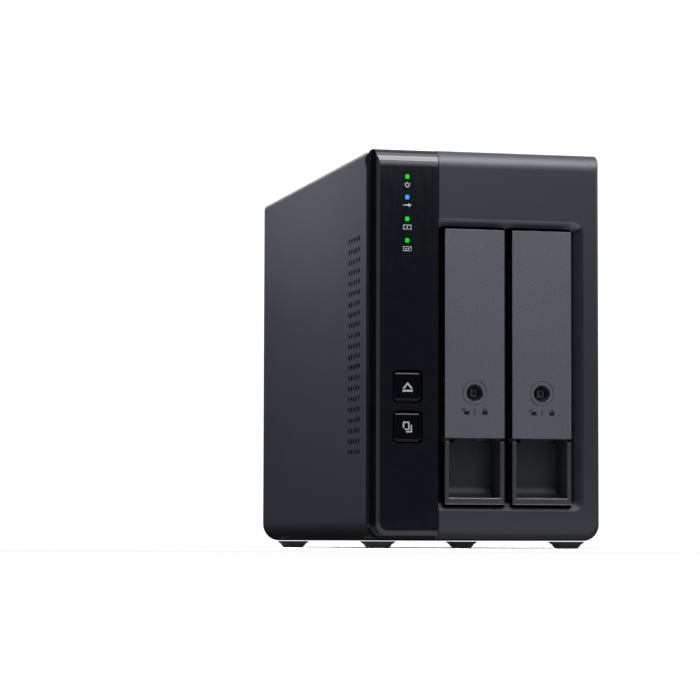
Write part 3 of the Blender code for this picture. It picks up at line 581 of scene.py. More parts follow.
def dress(node, mat, edge=0.15, sharp=50.0):
    """A CAD node that keeps its shape: its material, and fine edges by modifier."""
    ob = NODES[node]
    ob.data.materials.clear()
    ob.data.materials.append(M[mat])
    weld = ob.modifiers.new("weld", "WELD")
    weld.merge_threshold = 2e-6
    flat = ob.modifiers.new("flat", "DECIMATE")
    flat.decimate_type, flat.angle_limit = "DISSOLVE", math.radians(0.4)
    if edge:
        bev = ob.modifiers.new("edge", "BEVEL")
        bev.width, bev.segments = edge * MM, 2
        bev.limit_method, bev.angle_limit = "ANGLE", math.radians(40)
    norm = ob.modifiers.new("normals", "WEIGHTED_NORMAL")
    norm.mode, norm.weight, norm.keep_sharp = "FACE_AREA", 100, True
    return ob


# ================================================================ outer cover
def outer_cover():
    u0 = u_low("outer_cover")
    t, bottom = 2.0, low("outer_cover", 2)
    x0, x1 = low("outer_cover", 0), high("outer_cover", 0)
    ob = prism("cover_shell", rrect(x0, bottom, x1, H, (8, 8, 2.8, 2.8), 12), "Y", y_of(u0), y_of(D))
    cut(ob,
        prism("c", rrect(x0 + t, bottom + t, x1 - t, H - t, (6, 6, 0.8, 0.8), 12), "Y", y_of(u0 - 5), y_of(D + 5)),
        prism("c", rect(-36, bottom - 3, 36, bottom + t + 1), "Y", y_of(u0 - 6), y_of(D + 6)))
    nook = [(y_of(u0 - 2), 160.0), (y_of(u0), 160.0)]
    nook += [(y_of(u0 + 2.4 * math.sin(math.radians(6 * k))), 160.0 + 5.4 * (1 - math.cos(math.radians(6 * k))))
             for k in range(1, 16)]
    nook += [(y_of(u0 - 2), 165.4)]
    cut(ob, prism("c", nook, "X", x0 - 4, x1 + 4))
    soften(ob, 0.28, 3)
    # round vent holes with a small countersink, through both side walls
    bm = bmesh.new()
    for i in range(5):
        for j in range(21):
            c = (y_of(22.7 + 4.48 * i), 41.0 + 4.545 * j)
            add_loft(bm, "X", [(circle(*c, 1.26, 20), x0 - 1.0), (circle(*c, 1.26, 20), x0),
                               (circle(*c, 1.05, 20), x0 + 0.22), (circle(*c, 1.05, 20), x1 - 0.22),
                               (circle(*c, 1.26, 20), x1), (circle(*c, 1.26, 20), x1 + 1.0)])
    cut(ob, link_mesh("c", bm))
    shade(ob, 40)
    piece(ob, "enclosure", "cover", "cover", "painted_shade", stands_for=("outer_cover",))
    # painted shade: the walls of the vent holes get the near-black shade material
    return pick(ob, 1, lambda x, u, z, n: abs(n.x) < 0.95 and 20.0 < u < 44.0 and 38.0 < z < 136.0)


# ================================================================ front mouldings
FACE_HALF, FACE_LOW, FACE_EDGE, R_TOP = 48.8, 5.3, 1.2, 7.8
REC_X1, REC_Z0, REC_Z1, REC_IN, REC_DEPTH, MULLION_U = 41.9, 15.8, 139.0, 3.4, 3.9, 7.0
BAYS = [(-19.9, 7.4), (9.7, 37.0)]
BAY_Z0, BAY_Z1 = 17.3, 136.1
SKIN = 2.2
LED_X = mid("light_pipe_1", 0)
LEDS = [mid("light_pipe_%d" % k, 2) for k in (1, 2, 3, 4)]
LENS_W, LENS_H = 0.82, 0.88       # half sizes of the lit end of each light pipe
KEY_X = mid("eject_button", 0)
KEYS = {"eject_button": mid("eject_button", 2), "copy_button": mid("copy_button", 2)}
KEY_W = high("eject_button", 0) - low("eject_button", 0)
KEY_H = high("eject_button", 2) - low("eject_button", 2)


def front_profile():
    pts = [(y_of(0.0), 2.0), (y_of(0.0), H - R_TOP)]
    n = 28
    for k in range(1, n):
        a = math.radians(90.0 * k / n)
        pts.append((y_of(R_TOP - R_TOP * math.cos(a)), H - R_TOP + R_TOP * math.sin(a)))
    pts += [(y_of(R_TOP), H), (y_of(10.1), H), (y_of(10.1), 2.0)]
    return pts


def front_block(name, face_low):
    bottom = low("front_bezel", 2)
    body = prism(name, front_profile(), "X", -W / 2 - 1, W / 2 + 1)
    wide = rrect(-FACE_HALF, FACE_LOW, FACE_HALF, H + 1, (5.0, 5.0, 0, 0), 10)
    slim = rrect(-FACE_HALF + FACE_EDGE, face_low, FACE_HALF - FACE_EDGE, H + 1, (3.8, 3.8, 0, 0), 10)
    rim = 0.6
    whole = rrect(-W / 2, bottom, W / 2, H, (7.0, 7.0, 2.8, 2.8), 10)
    front = rrect(-W / 2 + rim, bottom + rim, W / 2 - rim, H, (6.4, 6.4, 2.8, 2.8), 10)
    flange = prism("c", whole, "Y", y_of(7.15 + rim), y_of(11.1))
    join(flange,
         prism("c", front, "Y", y_of(7.15), y_of(7.15 + rim), taper=whole),
         prism("c", wide, "Y", y_of(1.4), y_of(7.55)),
         prism("c", slim, "Y", y_of(-0.02), y_of(1.4), taper=wide))
    # the raised face narrows to the flange's rounded top corners
    keep(flange, prism("c", rrect(-W / 2, bottom, W / 2, H, (0, 0, 2.8, 2.8), 10), "Y", y_of(-3), y_of(12)))
    keep(body, flange)
    return body


def gloss_panel():
    x1 = high("gloss_panel", 0)
    ob = front_block("gloss_fascia", 7.4)
    cut(ob, box("c", x1, W, -5, 20, -5, H + 5))
    cut(ob, prism("c", rrect(-46.4, 6.6, x1 - 1.6, H - SKIN - 0.6, (4, 0.5, 0.5, 0.5), 4),
                  "Y", y_of(SKIN), y_of(30)))
    bm = bmesh.new()
    for k, z in enumerate(LEDS, 1):
        w, h = LENS_W + 0.07, LENS_H + 0.07
        add_prism(bm, rrect(LED_X - w, z - h, LED_X + w, z + h, 0.25, 3), "Y", y_of(-3), y_of(5))
    for z in KEYS.values():
        g = 0.30
        add_prism(bm, rrect(KEY_X - KEY_W / 2 - g, z - KEY_H / 2 - g, KEY_X + KEY_W / 2 + g,
                            z + KEY_H / 2 + g, 2.0 + g, 8), "Y", y_of(-3), y_of(5))
    cut(ob, link_mesh("c", bm))
    soften(ob, 0.14, 2)
    shade(ob)
    return piece(ob, "enclosure", "gloss_panel", "gloss", stands_for=("gloss_panel",))


def front_bezel():
    seam = low("front_bezel", 0)
    ob = front_block("matte_fascia", 6.9)
    cut(ob, box("c", -W, seam, -5, 20, -5, H + 5))
    xl = seam - 4
    ahead = 1.0
    g = ahead * REC_IN / REC_DEPTH
    outer = rrect(xl, REC_Z0 - g, REC_X1 + g, REC_Z1 + g, (0, 5.0 + g, 5.0 + g, 0), 10)
    inner = rrect(xl, REC_Z0 + REC_IN, REC_X1 - REC_IN, REC_Z1 - REC_IN, (0, 1.6, 1.6, 0), 10)
    cut(ob, prism("c", outer, "Y", y_of(-ahead), y_of(REC_DEPTH), taper=inner),
        box("c", xl, BAYS[1][1], -3, MULLION_U, REC_Z0 + REC_IN, REC_Z1 - REC_IN))
    bm = bmesh.new()
    for a, b in BAYS:
        add_box(bm, a, b, -5, 20, BAY_Z0, BAY_Z1)
    cut(ob, link_mesh("c", bm))
    cut(ob, box("c", seam + 1.6, 46.0, SKIN + 0.4, 30, REC_Z1 + 1.8, H - 8.6),
        box("c", 43.2, 46.2, SKIN + 0.4, 30, 18.0, REC_Z1 - 2),
        box("c", seam + 1.6, 40.0, SKIN + 0.6, 30, 8.2, 12.6))
    soften(ob, 0.18, 2)
    shade(ob)
    piece(ob, "enclosure", "matte_bezel", "matte", "painted_shade", "rim", stands_for=("front_bezel",))
    x_end = REC_X1 - REC_IN
    # painted shade: the faces deep in the recess, the mullion, the strip left of the bays and the bay walls, get the
    # near-black shade material
    pick(ob, 1, lambda x, u, z, n: x < x_end - 0.5 and u > 4.4 and REC_Z0 < z < REC_Z1
         and u < 10.3 and not (x > BAYS[1][1] + 0.4))
    # painted shade on the ledge beside the right bay, then a painted highlight, a lighter satin, on the down-facing
    # slope above the bays
    pick(ob, 1, lambda x, u, z, n: n.y < -0.9 and 3.4 < u < 4.4 and x > BAYS[1][1] and x < REC_X1)
    return pick(ob, 2, lambda x, u, z, n: n.z < -0.45 and n.y < -0.2 and u < REC_DEPTH + 0.2
                and REC_Z1 - 6.0 < z < REC_Z1 + 0.5)


# ================================================================ lamps and keys
def lamps():
    for k, z in enumerate(LEDS, 1):
        w, h = LENS_W, LENS_H
        ob = loft("lamp_lens_%d" % k, "Y",
                  [(rrect(LED_X - w + 0.10, z - h + 0.10, LED_X + w - 0.10, z + h - 0.10, 0.16, 4), y_of(0.03)),
                   (rrect(LED_X - w, z - h, LED_X + w, z + h, 0.22, 4), y_of(0.12)),
                   (rrect(LED_X - w, z - h, LED_X + w, z + h, 0.22, 4), y_of(8.0))])
        join(ob, prism("c", rrect(LED_X - 2.1, z - 2.15, LED_X + 2.1, z + 2.15, 0.5, 4), "Y",
                       y_of(SKIN + 0.3), y_of(SKIN + 1.3)))
        tidy(ob)
        shade(ob, 35)
        blue = k == 2
        piece(ob, "enclosure", "light_blue" if blue else "light_green",
              "led_blue" if blue else "led_green", stands_for=("light_pipe_%d" % k,))
    marks = []
    x = LED_X
    # lamp marks: power ring, copy arrow, and one and two disk slots
    z = LEDS[0] - 3.5
    marks += [arc_band(x, z, 0.74, 1.08, 125, 415, 28), rect(x - 0.17, z + 0.15, x + 0.17, z + 1.25)]
    z = LEDS[1] - 3.4
    marks += [rect(x - 1.7, z - 0.20, x + 0.6, z + 0.20), [(x + 0.6, z - 0.85), (x + 1.8, z), (x + 0.6, z + 0.85)]]
    for k, z in ((1, LEDS[2] - 3.5), (2, LEDS[3] - 3.5)):
        marks += [rect(x - 1.8, z - 1.0, x + 1.8, z - 0.74), rect(x - 1.8, z + 0.74, x + 1.8, z + 1.0),
                  rect(x - 1.8, z - 0.74, x - 1.54, z + 0.74), rect(x + 1.54, z - 0.74, x + 1.8, z + 0.74)]
        for i in range(k):
            cx = x - 0.55 * (k - 1) + 1.1 * i
            marks.append(circle(cx, z, 0.34, 16))
    decal("lamp_marks", marks, 0.0, "enclosure", "gloss_panel", "ink_grey")


def key_cap(node, name, body, icon):
    x, z = KEY_X, KEYS[node]
    w, h = KEY_W / 2, KEY_H / 2
    u0, u1 = u_low(node), u_high(node)
    ob = loft(name, "Y", [
        (rrect(x - w + 0.55, z - h + 1.75, x + w - 0.55, z + h - 1.75, 1.1, 8), y_of(u0)),
        (rrect(x - w + 0.25, z - h + 1.30, x + w - 0.25, z + h - 1.30, 1.3, 8), y_of(u0 + 0.14)),
        (rrect(x - w + 0.05, z - h + 0.25, x + w - 0.05, z + h - 0.25, 1.85, 8), y_of(u0 + 0.95)),
        (rrect(x - w, z - h, x + w, z + h, 2.0, 8), y_of(u0 + 1.25)),
        (rrect(x - w, z - h, x + w, z + h, 2.0, 8), y_of(u1 - 0.3))])
    join(ob, prism("c", circle(x, z, 2.0, 24), "Y", y_of(u1 - 0.6), y_of(u1)))
    tidy(ob)
    shade(ob, 38)
    piece(ob, body, "key_caps", "key", stands_for=(node,))
    decal(name + "_icon", icon(x, z), u0, body, "key_caps", "ink_white")


def eject_icon(x, z):
    return [[(x - 2.2, z - 0.72), (x - 1.6, z - 1.12), (x, z + 0.82), (x, z + 1.8)],
            [(x + 2.2, z - 0.72), (x, z + 1.8), (x, z + 0.82), (x + 1.6, z - 1.12)],
            rect(x - 2.2, z - 2.2, x + 2.2, z - 1.4)]


def copy_icon(x, z):
    """Two offset pages, the rear one seen as an angle."""
    return [rect(x - 2.05, z - 0.45, x - 1.5, z + 2.25), rect(x - 1.5, z + 1.7, x + 0.25, z + 2.25),
            rect(x + 0.25, z - 1.2, x + 0.8, z + 2.25), rect(x - 1.25, z - 1.2, x + 0.25, z - 0.65),
            rect(x + 1.3, z - 2.25, x + 1.85, z + 0.95), rect(x - 0.65, z - 2.25, x + 1.3, z - 1.7)]


# ================================================================ trays
RAIL_TOP, POCKET_DEPTH, POCKET_R, TONGUE = 45.0, 15.0, 5.5, 4.9
POCKET_WALL, POCKET_FLOOR = 1.9, 21.25
PIN_U, PIN_Z = 3.8, mid("hinge_pin_1", 2)
LOCK_Z, LOCK_R, LOCK_HOLE = 65.4, 5.0, 3.6


def carrier(k):
    node = "carrier_%d" % k
    x0, x1 = low(node, 0), high(node, 0)
    cx, z0, z1 = 0.5 * (x0 + x1), low(node, 2), high(node, 2)
    dz0, dz1 = low("drive_%d" % k, 2), high("drive_%d" % k, 2)
    u_end = u_high(node)
    ob = box("tray_body_%d" % k, x0, x1, 0.0, 19.4, z0, z1)
    bm = bmesh.new()
    add_box(bm, x0 + 1.2, x1 - 1.2, 18.0, u_end, z0, dz0 - 0.3)
    add_box(bm, x0 + 1.2, x1 - 1.2, 18.0, u_end, dz1 + 0.3, z1)
    join(ob, link_mesh("c", bm))
    bm = bmesh.new()
    add_box(bm, x0 + 5.0, x1 - 5.0, 26.0, u_end - 6.0, z0 - 3, z0 + 3.4)
    add_box(bm, x0 + 5.0, x1 - 5.0, 26.0, u_end - 6.0, z1 - 3.4, z1 + 3)
    cut(ob, link_mesh("c", bm))
    # ribs across the rail channels
    bm = bmesh.new()
    for i in range(1, 6):
        u = 26.0 + i * (u_end - 32.0) / 6
        add_box(bm, x0 + 4.0, x1 - 4.0, u - 0.6, u + 0.6, z0 + 0.6, z0 + 4.0)
        add_box(bm, x0 + 4.0, x1 - 4.0, u - 0.6, u + 0.6, z1 - 4.0, z1 - 0.6)
    join(ob, link_mesh("c", bm))
    cut(ob, box("c", x0 - 2, x1 + 2, -3, 5.4, RAIL_TOP, 140.0),
        box("c", x0 - 2, x1 + 2, -4, 9.6, 122.6, 141.0))
    fl, n = POCKET_FLOOR, 14
    pts = [(y_of(-3), fl), (y_of(POCKET_DEPTH - POCKET_R), fl)]
    for i in range(1, n + 1):
        a = math.radians(-90 + 90.0 * i / n)
        pts.append((y_of(POCKET_DEPTH - POCKET_R + POCKET_R * math.cos(a)), fl + POCKET_R + POCKET_R * math.sin(a)))
    pts += [(y_of(POCKET_DEPTH), 49.0), (y_of(-3), 49.0)]
    cut(ob, prism("c", pts, "X", x0 + POCKET_WALL, x1 - POCKET_WALL))
    bm = bmesh.new()
    add_box(bm, x0 + POCKET_WALL, cx - TONGUE, POCKET_DEPTH - 1, 24.0, RAIL_TOP, 49.0)
    add_box(bm, cx + TONGUE, x1 - POCKET_WALL, POCKET_DEPTH - 1, 24.0, RAIL_TOP, 49.0)
    cut(ob, link_mesh("c", bm))
    cut(ob, prism("c", rrect(cx - 6.4, LOCK_Z - 7.0, cx + 6.4, LOCK_Z + 8.6, 2.0, 4), "Y", y_of(5), y_of(14.0)),
        box("c", x0 + 2.0, x1 - 2.0, 11.4, 22.0, 80.0, 120.0),
        box("c", cx - 6.0, cx + 6.0, 10.4, 22.0, 56.0, 78.0))
    bm = bmesh.new()
    for sx in (-1, 1):
        a, b = sorted((cx + sx * 11.0, cx + sx * (x1 - cx)))
        pts = [(y_of(10.2), PIN_Z - 1.9), (y_of(10.2), PIN_Z + 1.9)]
        for i in range(17):
            t = math.radians(90 + 180.0 * i / 16)
            pts.append((y_of(PIN_U + 1.9 * math.cos(t)), PIN_Z + 1.9 * math.sin(t)))
        add_prism(bm, pts, "X", a, b)
    join(ob, link_mesh("c", bm))
    cut(ob, prism("c", circle(y_of(PIN_U), PIN_Z, 1.15, 24), "X", cx - 12.6, cx + 12.6))
    # rounded lips around the finger pocket, fine edges elsewhere
    round_edges(ob, 0.38, lambda x, u, z, d: u < 0.6 and z < RAIL_TOP + 0.5, 3)
    soften(ob, 0.12, 2, 38)
    shade(ob)
    ob = piece(ob, "tray_%d" % k, "tray_frame", "frame", "painted_shade", "painted_lip_highlight", stands_for=(node,))
    # painted highlight: the rounded lips of the finger pocket get the lighter grey
    pick(ob, 2, lambda x, u, z, n: u < 0.45 and z < RAIL_TOP - 0.3 and n.y < -0.15
         and abs(n.z) > 0.2)
    # painted shade: the flanks of the front block and the hinge ears, which stand in shadow beside the bays, and the
    # carrier's faces above z 120 behind the tray front get the near-black shade material
    pick(ob, 1, lambda x, u, z, n: u < 11.0 and abs(x - cx) > 12.9 and abs(n.x) > 0.9 and z > RAIL_TOP + 1.5)
    return pick(ob, 1, lambda x, u, z, n: 2.0 < u < 11.0 and z > 120.0 and (abs(x - cx) > 10.9 or n.y < -0.9))


def lever(k):
    node = "lever_%d" % k
    x0, x1 = low(node, 0), high(node, 0)
    cx, z0, z1 = 0.5 * (x0 + x1), low(node, 2), high("carrier_%d" % k, 2)
    ob = box("tray_front_%d" % k, x0, x1, 0.0, 1.6, z0, z1)
    join(ob, box("c", x0, x0 + 1.5, 1.0, 5.0, z0, 123.2), box("c", x1 - 1.5, x1, 1.0, 5.0, z0, 123.2),
         box("c", x0, x1, 1.0, 5.0, z0, z0 + 1.6))
    pts = [(y_of(1.2), PIN_Z - 1.9), (y_of(1.2), PIN_Z + 1.9)]
    for i in range(17):
        t = math.radians(90 - 180.0 * i / 16)
        pts.append((y_of(PIN_U + 1.9 * math.cos(t)), PIN_Z + 1.9 * math.sin(t)))
    join(ob, prism("c", pts, "X", cx - 10.4, cx + 10.4),
         prism("c", circle(cx, LOCK_Z, LOCK_R), "Y", y_of(1.0), y_of(9.0)))
    cut(ob, prism("c", circle(cx, LOCK_Z, LOCK_HOLE), "Y", y_of(-3), y_of(12)),
        prism("c", circle(y_of(PIN_U), PIN_Z, 1.15, 24), "X", cx - 14, cx + 14))
    # parting ring around the lock: a groove, in which the barrel's own rim shows
    groove = prism("c", circle(cx, LOCK_Z, 5.30), "Y", y_of(-1), y_of(0.35))
    cut(groove, prism("c", circle(cx, LOCK_Z, 5.02), "Y", y_of(-2), y_of(1)))
    cut(ob, groove)
    # stiffening ribs on the back
    bm = bmesh.new()
    for z in (84.0, 96.0, 108.0, 119.0):
        add_box(bm, x0 + 1.0, x1 - 1.0, 1.2, 3.0, z, z + 1.0)
    join(ob, link_mesh("c", bm))
    soften(ob, 0.14, 2)
    shade(ob)
    piece(ob, "tray_lever_%d" % k, "tray_front", "tray", "painted_shade", stands_for=(node,))
    # painted shade: the outer flanks of the tray front and its faces behind the front above z 120 get the near-black
    # shade material
    pick(ob, 1, lambda x, u, z, n: u > 1.9 and (abs(x - cx) > 12.9 and abs(n.x) > 0.9 or z > 120.0))
    # lock marks: open padlock, upright bar, closed padlock
    z = 57.5
    marks = []
    for px, shift in ((cx - 3.55, -1.45), (cx + 4.4, 0.0)):
        marks += [rect(px - 1.15, z - 1.25, px + 1.15, z + 0.25),
                  arc_band(px + shift, z + 0.50, 0.42, 0.78, 0, 180, 12),
                  rect(px + shift + 0.42, z + 0.25, px + shift + 0.78, z + 0.50)]
        marks.append(rect(px + shift - 0.78, z + (0.25 if not shift else 0.0), px + shift - 0.42, z + 0.50))
    marks.append(rect(cx - 0.20, z - 1.35, cx + 0.20, z + 1.20))
    decal("tray_marks_%d" % k, marks, 0.0, "tray_lever_%d" % k, "tray_front", "ink_dark")


def lock_core(k):
    node = "lock_core_%d" % k
    cx, z = mid("lever_%d" % k, 0), LOCK_Z
    ob = prism("lock_barrel_%d" % k, circle(cx, z, 3.25), "Y", y_of(2.4), y_of(9.6))
    ring = prism("c", circle(cx, z, 2.75), "Y", y_of(1.0), y_of(5.0))
    cut(ring, prism("p", rrect(cx - 1.55, z - 1.55, cx + 1.55, z + 1.55, 0.4, 4), "Y", y_of(0.5), y_of(6.0)))
    cut(ob, ring)
    cut(ob, box("c", cx - 0.8, cx + 0.8, 1.0, 3.6, z - 0.8, z + 0.8))
    join(ob, prism("c", rrect(cx - 2.6, z - 2.6, cx + 2.6, z + 5.2, 1.2, 4), "Y", y_of(9.3), y_of(10.9)))
    soften(ob, 0.12, 2)
    shade(ob)
    return piece(ob, "tray_lock_%d" % k, "lock", "lock", stands_for=(node,))


# ================================================================ drives
def drive(k):
    node = "drive_%d" % k
    x0, x1 = low(node, 0), high(node, 0)
    u0, u1 = u_low(node), u_high(node)
    z0, z1 = low(node, 2), high(node, 2)
    body = "tray_%d" % k
    ob = box("drive_case_%d" % k, x0 + 1.6, x1 - 0.6, u0, u1, z0, z1)
    join(ob, prism("c", rrect(y_of(u0 + 3), z0 + 3, y_of(u1 - 26), z1 - 3, (6, 16, 16, 6), 10), "X", x1 - 1.2, x1))
    cut(ob, prism("c", rrect(y_of(u0 + 50), z0 + 4, y_of(u1 - 6), z1 - 4, 4, 6), "X", x0, x0 + 2.8))
    # spindle and arm recesses in the casting, and side screw holes
    cut(ob, prism("c", circle(y_of(u0 + 58), 0.5 * (z0 + z1), 15.0, 64), "X", x0, x0 + 2.4))
    bm = bmesh.new()
    for du in (28.5, 70.0, 130.0):
        for zz in (z0 - 1, z1 - 2.4):
            add_prism(bm, circle(x0 + 6.35, y_of(u0 + du), 1.5, 20), "Z", zz, zz + 3.4)
    cut(ob, link_mesh("c", bm))
    soften(ob, 0.35, 2)
    shade(ob)
    piece(ob, body, "aluminium", "alu", "lid", stands_for=(node,))
    pick(ob, 1, lambda x, u, z, n: n.x > 0.7 and x > x1 - 0.9)
    # hub of the spindle motor, inside its recess
    zc, uc = 0.5 * (z0 + z1), u0 + 58
    ob = loft("drive_hub_%d" % k, "X", [(circle(y_of(uc), zc, 11.0, 48), x0 + 1.75), (circle(y_of(uc), zc, 11.6, 48), x0 + 2.1),
                                        (circle(y_of(uc), zc, 11.6, 48), x0 + 2.6)])
    join(ob, prism("c", circle(y_of(uc), zc, 4.0, 32), "X", x0 + 1.45, x0 + 2.2))
    tidy(ob)
    shade(ob, 35)
    piece(ob, body, "aluminium", "lid")
    # circuit board in the well, with its parts
    ob = prism("drive_board_%d" % k, rrect(y_of(u0 + 76), z0 + 5, y_of(u1 - 8), z1 - 5, 2.5, 5), "X", x0 + 1.5, x0 + 2.7)
    soften(ob, 0.08, 1)
    shade(ob)
    piece(ob, body, "circuit_board", "board_yz")
    bm = bmesh.new()
    for du, dz, w, h in ((92, 40, 14, 14), (92, 62, 9, 11), (112, 66, 8, 16), (84, 82, 6, 9), (112, 26, 7, 6), (122, 84, 9, 5)):
        add_prism(bm, rrect(y_of(u0 + du - w / 2), z0 + dz - h / 2, y_of(u0 + du + w / 2), z0 + dz + h / 2, 0.4, 2),
                  "X", x0 + 0.6, x0 + 1.5)
    ob = soften(link_mesh("drive_chips_%d" % k, bm), 0.12, 1)
    shade(ob)
    piece(ob, body, "black_plastic", "chip")
    bm = bmesh.new()
    for i in range(9):
        z = z0 + 14 + 3.1 * i
        add_prism(bm, rect(y_of(u0 + 102.0), z, y_of(u0 + 103.6), z + 0.8), "X", x0 + 1.0, x0 + 1.5)
        add_prism(bm, rect(y_of(u0 + 128.0), z + 40, y_of(u0 + 129.0), z + 41.8), "X", x0 + 0.9, x0 + 1.5)
    ob = link_mesh("drive_passives_%d" % k, bm)
    soften(ob, 0.06, 1)
    shade(ob)
    piece(ob, body, "steel", "plated")
    # interface socket at the back edge
    ob = box("drive_socket_%d" % k, x0, x0 + 4.0, u1 - 8.0, u1, z0 + 5.0, z0 + 47.0)
    cut(ob, box("c", x0 + 1.2, x0 + 3.0, u1 - 5.0, u1 + 2, z0 + 6.5, z0 + 24.0),
        box("c", x0 + 1.2, x0 + 3.0, u1 - 5.0, u1 + 2, z0 + 26.0, z0 + 39.0))
    soften(ob, 0.10, 1)
    shade(ob)
    piece(ob, body, "black_plastic", "cage")
    # lid screws, and a plain blank label on the lid
    bm = bmesh.new()
    for du, dz in ((8, 8), (60, 6), (110, 10), (8, 93.6), (60, 95.6), (110, 91.6)):
        add_loft(bm, "X", [(circle(y_of(u0 + du), z0 + dz, 2.0, 24), x1 - 0.5),
                           (circle(y_of(u0 + du), z0 + dz, 2.0, 24), x1 + 0.22),
                           (circle(y_of(u0 + du), z0 + dz, 1.7, 24), x1 + 0.38)])
    ob = link_mesh("drive_screws_%d" % k, bm)
    bm = bmesh.new()
    for du, dz in ((8, 8), (60, 6), (110, 10), (8, 93.6), (60, 95.6), (110, 91.6)):
        add_prism(bm, circle(y_of(u0 + du), z0 + dz, 0.9, 6), "X", x1 + 0.0, x1 + 1.0)
    cut(ob, link_mesh("c", bm))
    tidy(ob)
    shade(ob, 30)
    piece(ob, body, "steel", "steel")
    ob = prism("drive_label_%d" % k, rrect(y_of(u0 + 22), z0 + 20, y_of(u0 + 96), z0 + 82, 2.0, 5), "X", x1 - 0.05, x1 + 0.06)
    shade(ob, 30)
    piece(ob, body, "white_plastic", "paper")


# ================================================================ rear
def rear_panel():
    u0, u1 = u_low("rear_panel"), u_high("rear_panel")
    fx, fz = mid("fan_rotor", 0), mid("fan_frame", 2)
    x0, x1 = low("rear_panel", 0), high("rear_panel", 0)
    z0, z1 = low("rear_panel", 2), high("rear_panel", 2)
    ob = prism("back_panel", rrect(x0, z0, x1, z1, (5.6, 5.6, 0.4, 0.4), 10), "Y", y_of(u0), y_of(u1))
    a, b = y_of(u0 - 4), y_of(u1 + 4)
    bm = bmesh.new()
    r = 31.5
    for k in range(-5, 6):
        xs = [fx + k * 5.6 - 1.8, fx + k * 5.6 + 1.8]
        for side in (-1, 1):
            arc = []
            for i in range(7):
                x = xs[0] + (xs[1] - xs[0]) * i / 6
                h = math.sqrt(max(r * r - (abs(k * 5.6) + 1.8) ** 2, 1.0))
                arc.append((x, fz + side * (h - 0.9 * abs((i - 3) / 3.0) ** 3)))
            if side > 0:
                pts = [(xs[0], fz + 1.1), (xs[1], fz + 1.1)] + list(reversed(arc))
            else:
                pts = arc + [(xs[1], fz - 1.1), (xs[0], fz - 1.1)]
            add_prism(bm, pts, "Y", a, b)
    for sx in (-1, 1):
        for sz in (-1, 1):
            add_prism(bm, circle(fx + sx * 30, fz + sz * 30, 2.1, 28), "Y", a, b)
    for k in (1, 2, 3):
        n = "panel_screw_%d" % k
        add_prism(bm, circle(mid(n, 0), mid(n, 2), 1.95, 28), "Y", a, b)
    ux, uz = mid("usb_c_port", 0), 24.0
    dx, dz = mid("dc_jack", 0), mid("dc_jack", 2)
    mx, mz = mid("mode_switch_body", 0), mid("mode_switch_body", 2)
    sx, sz = mid("set_button", 0), mid("set_button", 2)
    add_prism(bm, rrect(ux - 4.9, uz - 2.0, ux + 4.9, uz + 2.0, 1.9, 8), "Y", a, b)
    add_prism(bm, circle(dx, dz, 4.6, 40), "Y", a, b)
    add_prism(bm, rrect(mx - 5.2, mz - 3.4, mx + 5.2, mz + 3.4, 0.4, 3), "Y", a, b)
    add_prism(bm, circle(sx, sz, 2.3, 28), "Y", a, b)
    add_prism(bm, rrect(-38.5, 145.4, -31.5, 148.4, 1.2, 6), "Y", a, b)
    cut(ob, link_mesh("c", bm))
    # a shallow ring groove around the grille
    bm = bmesh.new()
    ringed = [(arc_band(fx, fz, 33.6, 34.4, 0, 180, 40), 0.0), (arc_band(fx, fz, 33.6, 34.4, 180, 360, 40), 0.0)]
    for pts, _ in ringed:
        add_prism(bm, pts, "Y", y_of(u1 - 0.35), y_of(u1 + 1))
    cut(ob, link_mesh("c", bm))
    soften(ob, 0.22, 2)
    shade(ob)
    piece(ob, "enclosure", "rear_panel", "rear", stands_for=("rear_panel",))
    # socket marks: USB-style trident left out; plain direct-current and slot signs instead
    def back(name, outlines):
        bm = bmesh.new()
        for pts in outlines:
            add_prism(bm, pts, "Y", y_of(u1 - 0.03), y_of(u1 + 0.02))
        return piece(link_mesh(name, bm), "enclosure", "rear_panel", "ink_grey")
    z = dz + 8.4
    back("rear_marks", [
        rect(dx - 2.0, z + 0.45, dx + 2.0, z + 0.80), rect(dx - 2.0, z - 0.25, dx - 0.95, z + 0.10),
        rect(dx - 0.52, z - 0.25, dx + 0.52, z + 0.10), rect(dx + 0.95, z - 0.25, dx + 2.0, z + 0.10),
        arc_band(ux, uz + 5.2, 0.95, 1.25, 0, 360 - 1e-3, 32),
        rect(mx - 3.1, mz + 4.6, mx - 2.9, mz + 5.9), rect(mx - 0.1, mz + 4.6, mx + 0.1, mz + 5.9),
        rect(mx + 2.9, mz + 4.6, mx + 3.1, mz + 5.9),
        arc_band(sx, sz, 3.3, 3.6, 20, 340, 40)])


def screws():
    for node in ["fan_screw_%d" % k for k in (1, 2, 3, 4)] + ["panel_screw_%d" % k for k in (1, 2, 3)]:
        x, z = mid(node, 0), mid(node, 2)
        hr = 0.5 * (high(node, 0) - low(node, 0))
        ua, ub = u_low(node), u_high(node)
        top = ub - 1.6
        sections = [(circle(x, z, 0.9 if hr > 3.3 else 0.8, 28), y_of(ua)), (circle(x, z, 1.6, 28), y_of(ua + 1.2)),
                    (circle(x, z, 1.6, 28), y_of(top)), (circle(x, z, hr, 28), y_of(top + 0.02)),
                    (circle(x, z, hr, 28), y_of(top + 0.45))]
        for i in range(1, 6):
            t = i / 5.0
            sections.append((circle(x, z, hr * (1 - 0.42 * t * t), 28), y_of(top + 0.45 + 1.15 * math.sin(t * math.pi / 2))))
        ob = loft("pan_" + node, "Y", sections)
        c, b = hr * 0.5, 0.32
        cross = [(c, -b), (c, b), (b, b), (b, c), (-b, c), (-b, b), (-c, b), (-c, -b), (-b, -b), (-b, -c), (b, -c), (b, -b)]
        cut(ob, prism("c", [(x + p, z + q) for p, q in cross], "Y", y_of(ub - 1.0), y_of(ub + 2),
                      ))
        tidy(ob)
        shade(ob, 40)
        piece(ob, "enclosure", "steel", "steel", stands_for=(node,))


